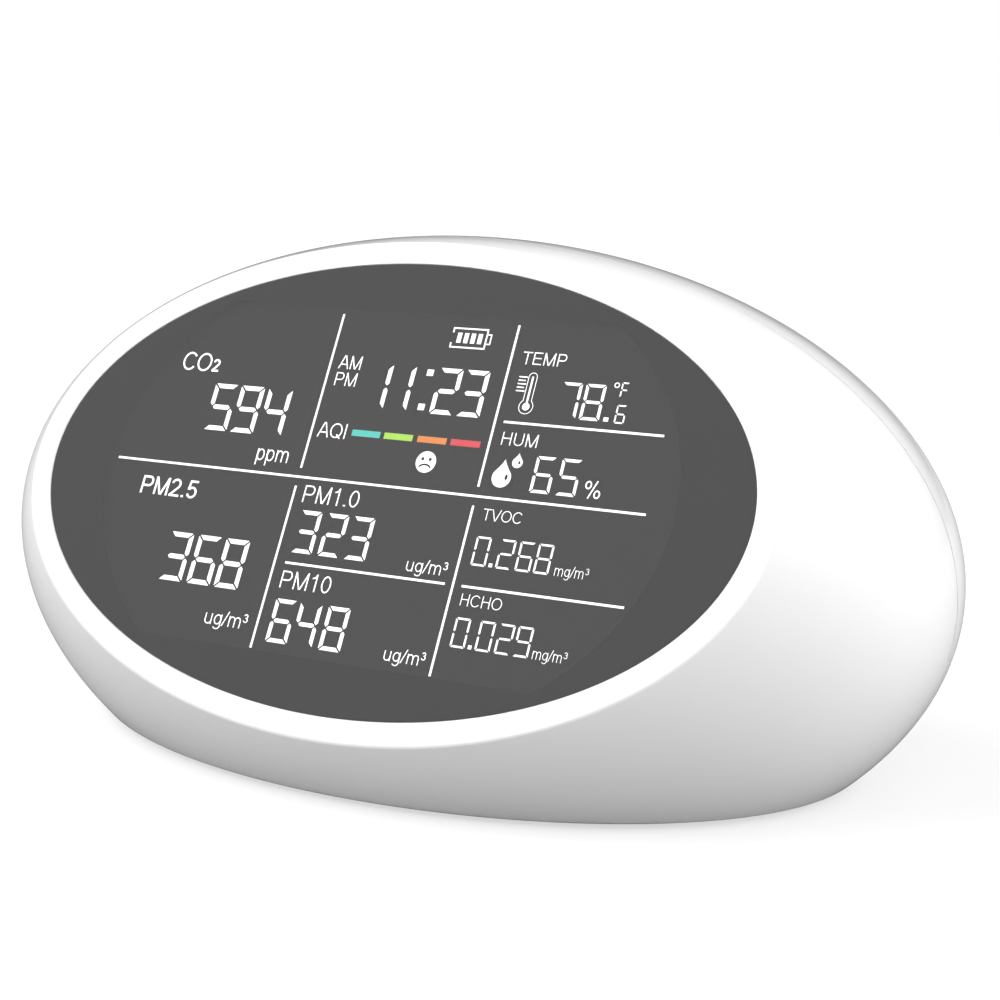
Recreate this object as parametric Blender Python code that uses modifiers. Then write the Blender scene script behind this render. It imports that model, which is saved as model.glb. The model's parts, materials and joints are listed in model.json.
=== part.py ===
"""Desktop air quality monitor: a white pebble-shaped case with a tilted oval display.

The case is a spheroid, long in X, cut by a tilted display face and by a flat base.
It splits at the upright plane through its centre into a front and a rear shell.
Metres, +Z up, display towards -Y. The origin is on the table, under the middle of
the object's bounding box.

Three frames place everything:
  case_centre  the spheroid's centre, axes as the world's
  face_centre  the middle of the display face, +Z out of the face and +Y up along it
  fan_axis     on the sensor fan's shaft, +Z towards the rear
"""

import math

import bmesh
import bpy
from mathutils import Matrix, Vector

MM = 0.001

# ---- driving dimensions --------------------------------------------------------------

CASE_HALF_WIDTH = 90.0 * MM
CASE_RADIUS = 55.4 * MM
BASE_DROP = 32.2 * MM  # flat base below the spheroid's centre
FACE_TILT = math.radians(30)  # the display leans back from upright by this
FACE_DISTANCE = 34.2 * MM  # display face from the spheroid's centre
RING_WIDTH = 4.0 * MM  # white ring round the lens
WALL = 2.2 * MM
FACE_WALL = 3.2 * MM
SEAM_GAP = 0.3 * MM
GAP = 0.3 * MM  # between pieces that rest on each other
CLOSE_GAP = 0.1 * MM  # round the lens and between the sheets of the display

FOOT_RADIUS = 5.0 * MM
FOOT_PROUD = 0.8 * MM
FOOT_RECESS = 1.0 * MM
FOOT_X, FOOT_Y = 46.0 * MM, 22.0 * MM

LENS_THICK = 1.0 * MM
GASKET_THICK = 0.4 * MM
LEDGE_WIDTH = 2.2 * MM
DISPLAY_HALF_WIDTH = 54.0 * MM  # the glass is an oval with its top and bottom cut off
DISPLAY_OVAL_HEIGHT = 42.0 * MM
DISPLAY_HALF_HEIGHT = 30.5 * MM
DISPLAY_THICK = 2.2 * MM
DIFFUSER_THICK = 3.0 * MM
TRAY_FLOOR = 1.5 * MM
TRAY_WALL = 1.5 * MM
TRAY_SCREWS = ((-61.5, 19), (61.5, 19), (-61.5, -19), (61.5, -19))  # x, y in mm, in the face

BOARD_THICK = 1.6 * MM
MAIN_BOARD_SIZE = (82.0 * MM, 44.0 * MM)
BOARD_SCREWS = ((-36, 18), (36, -18))  # x, y in mm, in the face
STANDOFF = 7.0 * MM
STANDOFF_RADIUS = 2.6 * MM
SCREW_RADIUS = 1.0 * MM
SCREW_HOLE = 1.2 * MM
SCREW_HEAD_RADIUS = 2.2 * MM
SCREW_HEAD_HEIGHT = 1.4 * MM

CASE_SCREWS = ((-70, 22), (70, 22), (-62, -20), (62, -20))  # x, z in mm from case_centre
CASE_SCREW_LENGTH = 13.0 * MM
WELL_RADIUS = 3.1 * MM
WELL_WALL = 1.4 * MM
WELL_FLOOR_Y = 6.0 * MM
CASE_BOSS_RADIUS = 3.4 * MM
POST_RADIUS = 2.6 * MM  # posts that carry the tray and the sensor board
KEY_POST_RADIUS = 2.4 * MM

VENT_CENTRE_Z = 12.5 * MM
VENT_HALF_WIDTH, VENT_HALF_HEIGHT = 42.0 * MM, 19.0 * MM
VENT_PITCH = 4.2 * MM
VENT_SLOT = 1.8 * MM
VENT_ROWS = 4  # rows above and below the middle one

KEY_X = (("power", -16.0 * MM), ("set", 0.0), ("adjust", 16.0 * MM))
KEY_Z = -15.0 * MM
KEY_RADIUS = 4.0 * MM
KEY_TRAVEL = 0.7 * MM
POCKET_FLOOR_Y = 50.0 * MM
KEY_PROUD = 1.2 * MM
KEY_BOARD_Y = 38.0 * MM
KEY_SCREWS = ((-21, -26), (21, -26))  # x, z in mm from case_centre
USB_Z = -25.0 * MM
USB_SIZE = (9.0 * MM, 3.2 * MM)
USB_DEPTH = 8.4 * MM

SENSOR_BOARD_Y = 14.0 * MM
SENSOR_SCREWS = ((-49, 20), (-49, -11))  # x, z in mm from case_centre
FAN_CENTRE = (30.0 * MM, 12.0 * MM)  # x, z from case_centre
FAN_RADIUS = 10.5 * MM
FAN_BLADES = 7

COUNTER_LOW = Vector((-4, 12, -9)) * MM  # the particle counter's corners
COUNTER_HIGH = Vector((46, 33, 28)) * MM
COUNTER_WALL = 1.4 * MM
COUNTER_RESTS = ((-2, -7), (44, -7), (44, 26))  # x, z in mm from case_centre

BATTERY_RADIUS, BATTERY_LENGTH = 9.2 * MM, 65.0 * MM
BATTERY_Y, BATTERY_Z = -14.0 * MM, -19.6 * MM

# ---- worked out from them ------------------------------------------------------------

FACE_SHARE = math.sqrt(1 - (FACE_DISTANCE / CASE_RADIUS) ** 2)
FACE_HALF_WIDTH = CASE_HALF_WIDTH * FACE_SHARE
FACE_HALF_HEIGHT = CASE_RADIUS * FACE_SHARE
FRONT_REACH = FACE_DISTANCE * math.cos(FACE_TILT) + FACE_HALF_HEIGHT * math.sin(FACE_TILT)
CASE_CENTRE = Vector((0, (FRONT_REACH - CASE_RADIUS) / 2, FOOT_PROUD + BASE_DROP))
FACE_NORMAL = Vector((0, -math.cos(FACE_TILT), math.sin(FACE_TILT)))

LENS_HALF_WIDTH = FACE_HALF_WIDTH - RING_WIDTH
LENS_HALF_HEIGHT = FACE_HALF_HEIGHT - RING_WIDTH
LEDGE_Z = -(LENS_THICK + GASKET_THICK + 2 * CLOSE_GAP)
DISPLAY_FRONT_Z = -(LENS_THICK + GAP)
DIFFUSER_FRONT_Z = DISPLAY_FRONT_Z - DISPLAY_THICK - CLOSE_GAP
TRAY_FLOOR_Z = DIFFUSER_FRONT_Z - DIFFUSER_THICK - CLOSE_GAP  # front of the tray's floor
TRAY_BACK_Z = TRAY_FLOOR_Z - TRAY_FLOOR
BOARD_FRONT_Z = TRAY_BACK_Z - STANDOFF - GAP
BOARD_BACK_Z = BOARD_FRONT_Z - BOARD_THICK

FLOOR_Z = -BASE_DROP + WALL  # inside floor, from case_centre
POCKET_BACK_Y = POCKET_FLOOR_Y - WALL
KEY_BOARD_BACK_Y = KEY_BOARD_Y + BOARD_THICK
SENSOR_BOARD_BACK_Y = SENSOR_BOARD_Y + BOARD_THICK

FAR = 300 * MM  # larger than the object, for cutting with a flat face
ALONG = {
    "X": (0, math.pi / 2, 0),
    "Y": (-math.pi / 2, 0, 0),
    "Z": (0, 0, 0),
    "-Y": (math.pi / 2, 0, 0),
    "-Z": (math.pi, 0, 0),
}

# ---- scene and materials -------------------------------------------------------------


def clear_scene():
    for obj in list(bpy.data.objects):
        bpy.data.objects.remove(obj)


def new_collection(name):
    made = bpy.data.collections.new(name)
    bpy.context.scene.collection.children.link(made)
    return made


def new_frame(name, parent, at, turn=(0, 0, 0)):
    empty = bpy.data.objects.new(name, None)
    empty.empty_display_size = 0.01
    empty.parent = parent
    empty.location = at
    empty.rotation_euler = turn
    PARTS.objects.link(empty)
    return empty


def new_material(name, colour, roughness, metallic=0.0, alpha=1.0):
    made = bpy.data.materials.new(name)
    made.use_nodes = True
    shader = made.node_tree.nodes["Principled BSDF"]
    shader.inputs["Base Color"].default_value = (*colour, 1)
    shader.inputs["Roughness"].default_value = roughness
    shader.inputs["Metallic"].default_value = metallic
    shader.inputs["Alpha"].default_value = alpha
    return made


clear_scene()
PARTS = new_collection("air_quality_monitor")
CUTTERS = new_collection("cutters")
CASE = new_frame("case_centre", None, CASE_CENTRE)
FACE = new_frame(
    "face_centre", CASE, FACE_NORMAL * FACE_DISTANCE, (math.pi / 2 - FACE_TILT, 0, 0)
)

WHITE = new_material("white_plastic", (0.86, 0.86, 0.86), 0.35)
KEY_GREY = new_material("key_grey", (0.55, 0.56, 0.57), 0.45)
SMOKE = new_material("smoked_acrylic", (0.1, 0.1, 0.1), 0.1, alpha=0.4)
DISPLAY_GLASS = new_material("display_glass", (0.09, 0.09, 0.095), 0.2)
DIFFUSER = new_material("diffuser", (0.9, 0.92, 0.95), 0.4)
INNER_WHITE = new_material("inner_plastic", (0.75, 0.75, 0.73), 0.5)
BLACK = new_material("black_plastic", (0.02, 0.02, 0.022), 0.5)
FOAM = new_material("foam", (0.03, 0.03, 0.03), 0.95)
RUBBER = new_material("foot_rubber", (0.12, 0.12, 0.125), 0.9)
BOARD = new_material("circuit_board", (0.02, 0.16, 0.07), 0.4)
STEEL = new_material("steel", (0.55, 0.55, 0.56), 0.3, metallic=1)
GOLD = new_material("gilt_can", (0.85, 0.62, 0.25), 0.3, metallic=1)
WRAP = new_material("battery_wrap", (0.05, 0.2, 0.5), 0.4)
RED = new_material("red_wire", (0.6, 0.03, 0.03), 0.5)
AMBER = new_material("ribbon_amber", (0.6, 0.3, 0.06), 0.4)
MESH_GREY = new_material("dust_mesh", (0.03, 0.03, 0.03), 0.9)

# ---- shapes --------------------------------------------------------------------------


def place(name, mesh, parent, at, along, finish):
    """Put a mesh or curve in the model. Without a finish it is a cutter."""
    obj = bpy.data.objects.new(name, mesh)
    obj.parent = parent
    obj.location = at
    obj.rotation_euler = ALONG[along]
    if finish is None:
        obj.hide_render = True
        obj.display_type = "WIRE"
        CUTTERS.objects.link(obj)
    else:
        mesh.materials.append(finish)
        PARTS.objects.link(obj)
    return obj


def mesh_from(name, shape, smooth=False):
    mesh = bpy.data.meshes.new(name)
    shape.to_mesh(mesh)
    shape.free()
    if smooth:
        mesh.shade_smooth()
        mesh.set_sharp_from_angle(angle=math.radians(35))
    return mesh


def box(name, size, at, parent=CASE, finish=None, corner=0.0, along="Z", steps=2):
    """A block centred at a point. Its corners are rounded in the plane across `along`."""
    shape = bmesh.new()
    bmesh.ops.create_cube(shape, size=1)
    bmesh.ops.scale(shape, vec=size, verts=shape.verts)
    if corner:
        upright = [e for e in shape.edges if abs(e.verts[0].co.z - e.verts[1].co.z) > size[2] / 2]
        bmesh.ops.bevel(
            shape, geom=upright, offset=corner, segments=steps, profile=0.5, affect="EDGES"
        )
    return place(name, mesh_from(name, shape), parent, at, along, finish)


def rod(name, radius, length, at, parent=CASE, finish=None, along="Z", sides=24, tip=None):
    """A cylinder centred at a point, or a cone if the tip radius differs."""
    shape = bmesh.new()
    bmesh.ops.create_cone(
        shape,
        cap_ends=True,
        segments=sides,
        radius1=radius,
        radius2=radius if tip is None else tip,
        depth=length,
    )
    return place(name, mesh_from(name, shape, True), parent, at, along, finish)


def oval(name, half_width, half_height, back_z, front_z, finish=None, sides=64):
    """An oval plate lying in the display face, between two depths of face_centre."""
    shape = bmesh.new()
    bmesh.ops.create_cone(
        shape,
        cap_ends=True,
        segments=sides,
        radius1=1,
        radius2=1,
        depth=front_z - back_z,
    )
    bmesh.ops.scale(shape, vec=(half_width, half_height, 1), verts=shape.verts)
    middle = (0, 0, (back_z + front_z) / 2)
    return place(name, mesh_from(name, shape, True), FACE, middle, "Z", finish)


def cut_oval(name, grow, back_z, front_z, finish=None):
    """The display glass's outline, an oval with its top and bottom cut off, grown by a margin."""
    plate = oval(
        name, DISPLAY_HALF_WIDTH + grow, DISPLAY_OVAL_HEIGHT + grow, back_z, front_z, finish
    )
    height = 2 * (DISPLAY_HALF_HEIGHT + grow)
    band = box(name + "_band", (FAR, height, FAR), (0, 0, 0), FACE)
    keep(plate, band)
    return plate


def spheroid(name, inset, finish=None, around=44, along=24):
    """The case's spheroid, shrunk by an inset, with its poles at the two ends in X."""
    shape = bmesh.new()
    bmesh.ops.create_uvsphere(shape, u_segments=around, v_segments=along, radius=1)
    bmesh.ops.rotate(shape, matrix=Matrix.Rotation(math.pi / 2, 3, "Y"), verts=shape.verts)
    half_width, radius = CASE_HALF_WIDTH - inset, CASE_RADIUS - inset
    bmesh.ops.scale(shape, vec=(half_width, radius, radius), verts=shape.verts)
    return place(name, mesh_from(name, shape, True), CASE, (0, 0, 0), "Z", finish)


def beyond(name, axis, level, sign, parent=CASE):
    """A block filling all that lies past a level on one axis, for cutting with a flat face."""
    at = [0, 0, 0]
    at["XYZ".index(axis)] = level + sign * FAR / 2
    return box(name, (FAR, FAR, FAR), at, parent)


def turned(name, profile, at, parent, finish, along="Z", sides=10):
    """A profile of (radius, height) points, run top to bottom, turned round its axis."""
    mesh = bpy.data.meshes.new(name)
    points = [(radius, 0, height) for radius, height in profile]
    mesh.from_pydata(points, [(i, i + 1) for i in range(len(points) - 1)], [])
    obj = place(name, mesh, parent, at, along, finish)
    spin = obj.modifiers.new("turn", "SCREW")
    spin.steps = spin.render_steps = sides
    spin.use_merge_vertices = True
    spin.merge_threshold = 0.00001
    return obj


def screw(name, length, at, parent, along="Z"):
    """A pan-head screw. Its head's underside is at the point and its shank runs back from it."""
    tip = 0.5 * SCREW_RADIUS
    profile = (
        (0, SCREW_HEAD_HEIGHT),
        (0.75 * SCREW_HEAD_RADIUS, SCREW_HEAD_HEIGHT),
        (SCREW_HEAD_RADIUS, 0.6 * SCREW_HEAD_HEIGHT),
        (SCREW_HEAD_RADIUS, 0),
        (SCREW_RADIUS, 0),
        (SCREW_RADIUS, -length + SCREW_RADIUS),
        (tip, -length),
        (0, -length),
    )
    return turned(name, profile, at, parent, STEEL, along)


def wire(name, points, radius, parent, finish):
    """A round wire along a few points, smoothed by halving the corners twice."""
    path = [Vector(p) for p in points]
    for _ in range(2):
        cornered = [path[0]]
        for a, b in zip(path, path[1:]):
            cornered += [a.lerp(b, 0.25), a.lerp(b, 0.75)]
        path = [*cornered, path[-1]]
    curve = bpy.data.curves.new(name, "CURVE")
    curve.dimensions = "3D"
    curve.bevel_depth = radius
    curve.bevel_resolution = 1
    curve.use_fill_caps = True
    spline = curve.splines.new("POLY")
    spline.points.add(len(path) - 1)
    for point, co in zip(spline.points, path):
        point.co = (*co, 1)
    return place(name, curve, parent, (0, 0, 0), "Z", finish)


def ribbon(name, x, width, path, parent, finish, thick=0.3 * MM):
    """A flat cable as wide as `width` in X that follows (y, z) points."""
    shape = bmesh.new()
    rows = []
    for y, z in path:
        rows.append([shape.verts.new((x + side * width / 2, y, z)) for side in (-1, 1)])
    for (a, b), (c, d) in zip(rows, rows[1:]):
        shape.faces.new((a, b, d, c))
    obj = place(name, mesh_from(name, shape), parent, (0, 0, 0), "Z", finish)
    skin = obj.modifiers.new("thickness", "SOLIDIFY")
    skin.thickness = thick
    skin.offset = 0
    skin.use_even_offset = True
    return obj


def boolean(target, tools, operation):
    for tool in tools:
        step = target.modifiers.new(tool.name, "BOOLEAN")
        step.operation = operation
        step.object = tool
    return target


def cut(target, *tools):
    return boolean(target, tools, "DIFFERENCE")


def join(target, *tools):
    return boolean(target, tools, "UNION")


def keep(target, *tools):
    return boolean(target, tools, "INTERSECT")


def mm_points(points):
    return [(x * MM, y * MM) for x, y in points]


# ---- case ----------------------------------------------------------------------------


def foot_recesses(side):
    """The two recesses in the base, in front of the seam or behind it."""
    depth = FOOT_RECESS + 1 * MM
    z = -BASE_DROP + FOOT_RECESS - depth / 2
    return [
        rod("foot_recess", FOOT_RADIUS + 0.2 * MM, depth, (sign * FOOT_X, side * FOOT_Y, z))
        for sign in (-1, 1)
    ]


def make_front_shell():
    """The front shell carries the display: posts behind the face hold the display tray."""
    mouth = spheroid("front_cavity", WALL + 1.2 * MM)
    deep = cut(spheroid("front_cavity_deep", WALL), beyond("seam_band", "Y", -3 * MM, 1))
    cavity = join(mouth, deep)
    cut(cavity, beyond("face_backing", "Z", -FACE_WALL, 1, FACE))
    cut(cavity, beyond("front_floor", "Z", FLOOR_Z, -1))
    for x, z in mm_points(CASE_SCREWS):
        length = 40 * MM
        at = (x, -GAP - length / 2, z)
        cut(cavity, rod("case_boss", CASE_BOSS_RADIUS, length, at, along="Y"))
    reach = -FACE_WALL - (TRAY_FLOOR_Z + GAP)
    for x, y in mm_points(TRAY_SCREWS):
        at = (x, y, -FACE_WALL)
        cut(cavity, rod("tray_post", POST_RADIUS, 2 * reach, at, FACE, sides=16))

    shell = spheroid("front_shell", 0, WHITE)
    cut(shell, beyond("face_plane", "Z", 0, 1, FACE))
    cut(shell, beyond("front_base", "Z", -BASE_DROP, -1))
    cut(shell, beyond("front_seam", "Y", -SEAM_GAP / 2, 1))
    cut(shell, cavity)
    cut(shell, oval("lens_recess", LENS_HALF_WIDTH, LENS_HALF_HEIGHT, LEDGE_Z, 1 * MM))
    inset = CLOSE_GAP + LEDGE_WIDTH
    width, height = LENS_HALF_WIDTH - inset, LENS_HALF_HEIGHT - inset
    cut(shell, oval("display_opening", width, height, -2 * FACE_WALL, 1 * MM))
    join(shell, make_seam_tongue())
    for x, z in mm_points(CASE_SCREWS):
        cut(shell, rod("case_pilot", SCREW_HOLE, 20 * MM, (x, -2 * MM, z), along="Y", sides=12))
    for x, y in mm_points(TRAY_SCREWS):
        cut(shell, rod("tray_pilot", SCREW_HOLE, 4 * MM, (x, y, TRAY_FLOOR_Z), FACE, sides=12))
    cut(shell, *foot_recesses(-1))
    return shell


def make_seam_tongue():
    """A thin lip that locates the rear shell and hides the gap at the seam."""
    tongue = spheroid("seam_tongue", WALL + 0.2 * MM)
    cut(tongue, beyond("tongue_front", "Y", -1.5 * MM, -1))
    cut(tongue, beyond("tongue_rear", "Y", 1.8 * MM, 1))
    cut(tongue, spheroid("tongue_inside", WALL + 1.1 * MM))
    cut(tongue, beyond("tongue_floor", "Z", FLOOR_Z + GAP, -1))
    return tongue


def vent_rows():
    """Height above case_centre and width of each slot: together they fill an oval."""
    for row in range(-VENT_ROWS, VENT_ROWS + 1):
        rise = row * VENT_PITCH
        width = 2 * VENT_HALF_WIDTH * math.sqrt(1 - (rise / VENT_HALF_HEIGHT) ** 2)
        yield VENT_CENTRE_Z + rise, width


def make_rear_shell():
    """The rear shell: vents, a pocket with the keys, the charging socket and screw wells."""
    cavity = spheroid("rear_cavity", WALL)
    cut(cavity, beyond("rear_floor", "Z", FLOOR_Z, -1))
    for x, z in mm_points(CASE_SCREWS):
        at = (x, GAP + FAR / 2, z)
        cut(cavity, rod("well_tube", WELL_RADIUS + WELL_WALL, FAR, at, along="Y"))
    for x, z in mm_points(SENSOR_SCREWS):
        y = SENSOR_BOARD_BACK_Y + GAP + FAR / 2
        cut(cavity, rod("sensor_post", POST_RADIUS, FAR, (x, y, z), along="Y", sides=16))
    for x, z in mm_points(KEY_SCREWS):
        y = KEY_BOARD_BACK_Y + GAP + FAR / 2
        cut(cavity, rod("key_post", KEY_POST_RADIUS, FAR, (x, y, z), along="Y", sides=16))
    for x, z in mm_points(COUNTER_RESTS):
        y = COUNTER_HIGH.y + GAP + FAR / 2
        cut(cavity, rod("counter_rest", 1.5 * MM, FAR, (x, y, z), along="Y", sides=12))
    pad = (58 * MM, FAR, 17 * MM)
    cut(cavity, box("key_pad", pad, (0, POCKET_BACK_Y + FAR / 2, KEY_Z)))

    shell = spheroid("rear_shell", 0, WHITE)
    cut(shell, beyond("rear_base", "Z", -BASE_DROP, -1))
    cut(shell, beyond("rear_seam", "Y", SEAM_GAP / 2, -1))
    cut(shell, cavity)
    for x, z in mm_points(CASE_SCREWS):
        mouth = WELL_FLOOR_Y + FAR / 2
        cut(shell, rod("well", WELL_RADIUS, FAR, (x, mouth, z), along="Y"))
        cut(shell, rod("well_hole", SCREW_HOLE, 20 * MM, (x, 5 * MM, z), along="Y", sides=12))
    for z, width in vent_rows():
        size = (width, VENT_SLOT, 60 * MM)
        corner = 0.45 * VENT_SLOT
        cut(shell, box("vent", size, (0, 50 * MM, z), corner=corner, along="Y"))
    pocket = (50 * MM, 12 * MM, 20 * MM)
    at = (0, POCKET_FLOOR_Y + 10 * MM, KEY_Z)
    cut(shell, box("key_pocket", pocket, at, corner=5.9 * MM, along="Y", steps=5))
    for _, x in KEY_X:
        hole = (x, POCKET_FLOOR_Y, KEY_Z)
        cut(shell, rod("key_hole", KEY_RADIUS + 0.25 * MM, 12 * MM, hole, along="Y"))
    socket = (USB_SIZE[0] + 1 * MM, USB_SIZE[1] + 1 * MM, 20 * MM)
    at = (0, 50 * MM, USB_Z)
    cut(shell, box("usb_opening", socket, at, corner=2 * MM, along="Y", steps=3))
    for x, z in mm_points(SENSOR_SCREWS):
        at = (x, SENSOR_BOARD_BACK_Y, z)
        cut(shell, rod("sensor_pilot", SCREW_HOLE, 16 * MM, at, along="Y", sides=12))
    for x, z in mm_points(KEY_SCREWS):
        at = (x, KEY_BOARD_BACK_Y, z)
        cut(shell, rod("key_pilot", SCREW_HOLE, 9 * MM, at, along="Y", sides=12))
    cut(shell, *foot_recesses(1))
    return shell


def make_case_screws():
    for number, (x, z) in enumerate(mm_points(CASE_SCREWS), 1):
        at = (x, WELL_FLOOR_Y + GAP, z)
        made = screw(f"case_screw_{number}", CASE_SCREW_LENGTH, at, CASE, "Y")
        slot = 0.5 * MM
        head = (x, at[1] + SCREW_HEAD_HEIGHT, z)
        for size in ((2.6 * MM, 1.2 * MM, slot), (slot, 1.2 * MM, 2.6 * MM)):
            cut(made, box("driver_recess", size, head))


def make_feet():
    height = FOOT_PROUD + FOOT_RECESS - CLOSE_GAP
    chamfer = 0.4 * MM
    profile = (
        (0, height),
        (FOOT_RADIUS, height),
        (FOOT_RADIUS, chamfer),
        (FOOT_RADIUS - chamfer, 0),
        (0, 0),
    )
    for end, y in (("front", -FOOT_Y), ("rear", FOOT_Y)):
        for side, x in (("left", -FOOT_X), ("right", FOOT_X)):
            at = (x, y, -BASE_DROP - FOOT_PROUD)
            turned(f"foot_{end}_{side}", profile, at, CASE, RUBBER, sides=20)


def make_vent_mesh():
    """A dust mesh that follows the inside of the rear shell behind the vents."""
    mesh = spheroid("vent_mesh", WALL + GAP, MESH_GREY)
    cut(mesh, spheroid("mesh_inside", WALL + GAP + 0.5 * MM))
    size = (2 * VENT_HALF_WIDTH + 1 * MM, 2 * VENT_HALF_HEIGHT - 2 * MM, FAR)
    at = (0, GAP + FAR / 2, VENT_CENTRE_Z + 1 * MM)
    keep(mesh, box("mesh_outline", size, at, corner=12 * MM, along="Y", steps=4))


# ---- display -------------------------------------------------------------------------


def make_lens():
    width, height = LENS_HALF_WIDTH - CLOSE_GAP, LENS_HALF_HEIGHT - CLOSE_GAP
    oval("display_lens", width, height, -LENS_THICK, 0, SMOKE)


def make_gasket():
    front = -LENS_THICK - CLOSE_GAP
    width, height = LENS_HALF_WIDTH - 3 * CLOSE_GAP, LENS_HALF_HEIGHT - 3 * CLOSE_GAP
    gasket = oval("lens_gasket", width, height, front - GASKET_THICK, front, FOAM)
    inner = LEDGE_WIDTH - 2 * CLOSE_GAP
    cut(gasket, oval("gasket_opening", width - inner, height - inner, -5 * MM, 1 * MM))


def make_display():
    cut_oval("display_glass", 0, DISPLAY_FRONT_Z - DISPLAY_THICK, DISPLAY_FRONT_Z, DISPLAY_GLASS)
    cut_oval(
        "backlight_diffuser",
        -1 * MM,
        DIFFUSER_FRONT_Z - DIFFUSER_THICK,
        DIFFUSER_FRONT_Z,
        DIFFUSER,
    )


def make_display_tray():
    """The tray behind the display: it holds the diffuser and carries the main board."""
    rim = DIFFUSER_FRONT_Z - 0.5 * MM
    tray = cut_oval("display_tray", TRAY_WALL, TRAY_BACK_Z, rim, INNER_WHITE)
    cut(tray, cut_oval("tray_inside", -0.5 * MM, TRAY_FLOOR_Z, 1 * MM))
    reach = 18 * MM
    middle = (TRAY_FLOOR_Z + TRAY_BACK_Z) / 2
    arm = (reach, 5 * MM, TRAY_FLOOR - 0.4 * MM)
    for x, y in mm_points(TRAY_SCREWS):
        at = (x - math.copysign(reach / 2, x), y, middle)
        ear = rod("tray_ear", 3.2 * MM, TRAY_FLOOR - 0.2 * MM, (x, y, middle), FACE)
        join(tray, box("tray_arm", arm, at, FACE), ear)
        cut(tray, rod("tray_hole", SCREW_HOLE, 4 * MM, (x, y, middle), FACE, sides=12))
    sunk = 0.5 * MM
    for x, y in mm_points(BOARD_SCREWS):
        at = (x, y, TRAY_BACK_Z - (STANDOFF - sunk) / 2)
        join(tray, rod("standoff", STANDOFF_RADIUS, STANDOFF + sunk, at, FACE, sides=16))
        hole = (x, y, TRAY_BACK_Z - STANDOFF)
        cut(tray, rod("standoff_hole", SCREW_HOLE, 12 * MM, hole, FACE, sides=12))
    strip_y = -DISPLAY_HALF_HEIGHT - 0.15 * MM
    slot = (52 * MM, 1.9 * MM, 4 * MM)
    cut(tray, box("led_slot", slot, (0, strip_y, TRAY_FLOOR_Z + 2.1 * MM), FACE))
    strip = (50 * MM, 1.2 * MM, 2.4 * MM)
    box("backlight_strip", strip, (0, strip_y, TRAY_FLOOR_Z + 1.7 * MM), FACE, BOARD)
    for number, (x, y) in enumerate(mm_points(TRAY_SCREWS), 1):
        screw(f"tray_screw_{number}", 3.4 * MM, (x, y, TRAY_BACK_Z - GAP), FACE, "-Z")


# ---- main board ----------------------------------------------------------------------


def make_main_board():
    middle = (BOARD_FRONT_Z + BOARD_BACK_Z) / 2
    size = (*MAIN_BOARD_SIZE, BOARD_THICK)
    board = box("main_board", size, (0, 0, middle), FACE, BOARD, corner=2 * MM)
    for number, (x, y) in enumerate(mm_points(BOARD_SCREWS), 1):
        cut(board, rod("board_hole", SCREW_HOLE, 4 * MM, (x, y, middle), FACE, sides=12))
        screw(f"board_screw_{number}", 6 * MM, (x, y, BOARD_BACK_Z - GAP), FACE, "-Z")
    back = BOARD_BACK_Z - GAP
    chip = (12 * MM, 12 * MM, 1.4 * MM)
    box("controller_chip", chip, (-8 * MM, 6 * MM, back - chip[2] / 2), FACE, BLACK)
    height = 7.5 * MM
    rod("buzzer", 6 * MM, height, (24 * MM, 12 * MM, back - height / 2), FACE, BLACK)
    socket = (8 * MM, 5 * MM, 3 * MM)
    at = (34 * MM, -8 * MM, back - socket[2] / 2)
    box("battery_socket", socket, at, FACE, INNER_WHITE)
    front = BOARD_FRONT_Z + GAP
    socket = (30 * MM, 4 * MM, 2 * MM)
    box("ribbon_socket", socket, (0, -17 * MM, front + socket[2] / 2), FACE, INNER_WHITE)
    path = (
        (-DISPLAY_HALF_HEIGHT - GAP, DISPLAY_FRONT_Z - 1.1 * MM),
        (-34.0 * MM, DISPLAY_FRONT_Z - 1.6 * MM),
        (-34.8 * MM, DIFFUSER_FRONT_Z - 1.0 * MM),
        (-34.8 * MM, TRAY_BACK_Z - 1.0 * MM),
        (-33.0 * MM, TRAY_BACK_Z - 3.6 * MM),
        (-28.0 * MM, front + 1.0 * MM),
        (-19.4 * MM, front + 1.0 * MM),
    )
    ribbon("display_ribbon", 0, 28 * MM, path, FACE, AMBER)


# ---- sensors -------------------------------------------------------------------------


def make_sensor_board():
    """An upright board behind the vents with the gas and climate sensors on its rear side."""
    y = SENSOR_BOARD_Y + BOARD_THICK / 2
    size = (44 * MM, 40 * MM, BOARD_THICK)
    at = (-32 * MM, y, 4 * MM)
    board = box("sensor_board", size, at, CASE, BOARD, corner=2 * MM, along="Y")
    for number, (x, z) in enumerate(mm_points(SENSOR_SCREWS), 1):
        cut(board, rod("sensor_hole", SCREW_HOLE, 4 * MM, (x, y, z), along="Y", sides=12))
        screw(f"sensor_screw_{number}", 6 * MM, (x, SENSOR_BOARD_Y - GAP, z), CASE, "-Y")
    make_gas_sensors(SENSOR_BOARD_BACK_Y + GAP)
    make_climate_sensor(SENSOR_BOARD_BACK_Y + GAP)
    path = ((13.4, -8.0), (9.0, -6.5), (-8.0, -6.5), (-16.5, -6.6))
    ribbon("sensor_cable", -30 * MM, 10 * MM, mm_points(path), CASE, AMBER)


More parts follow.
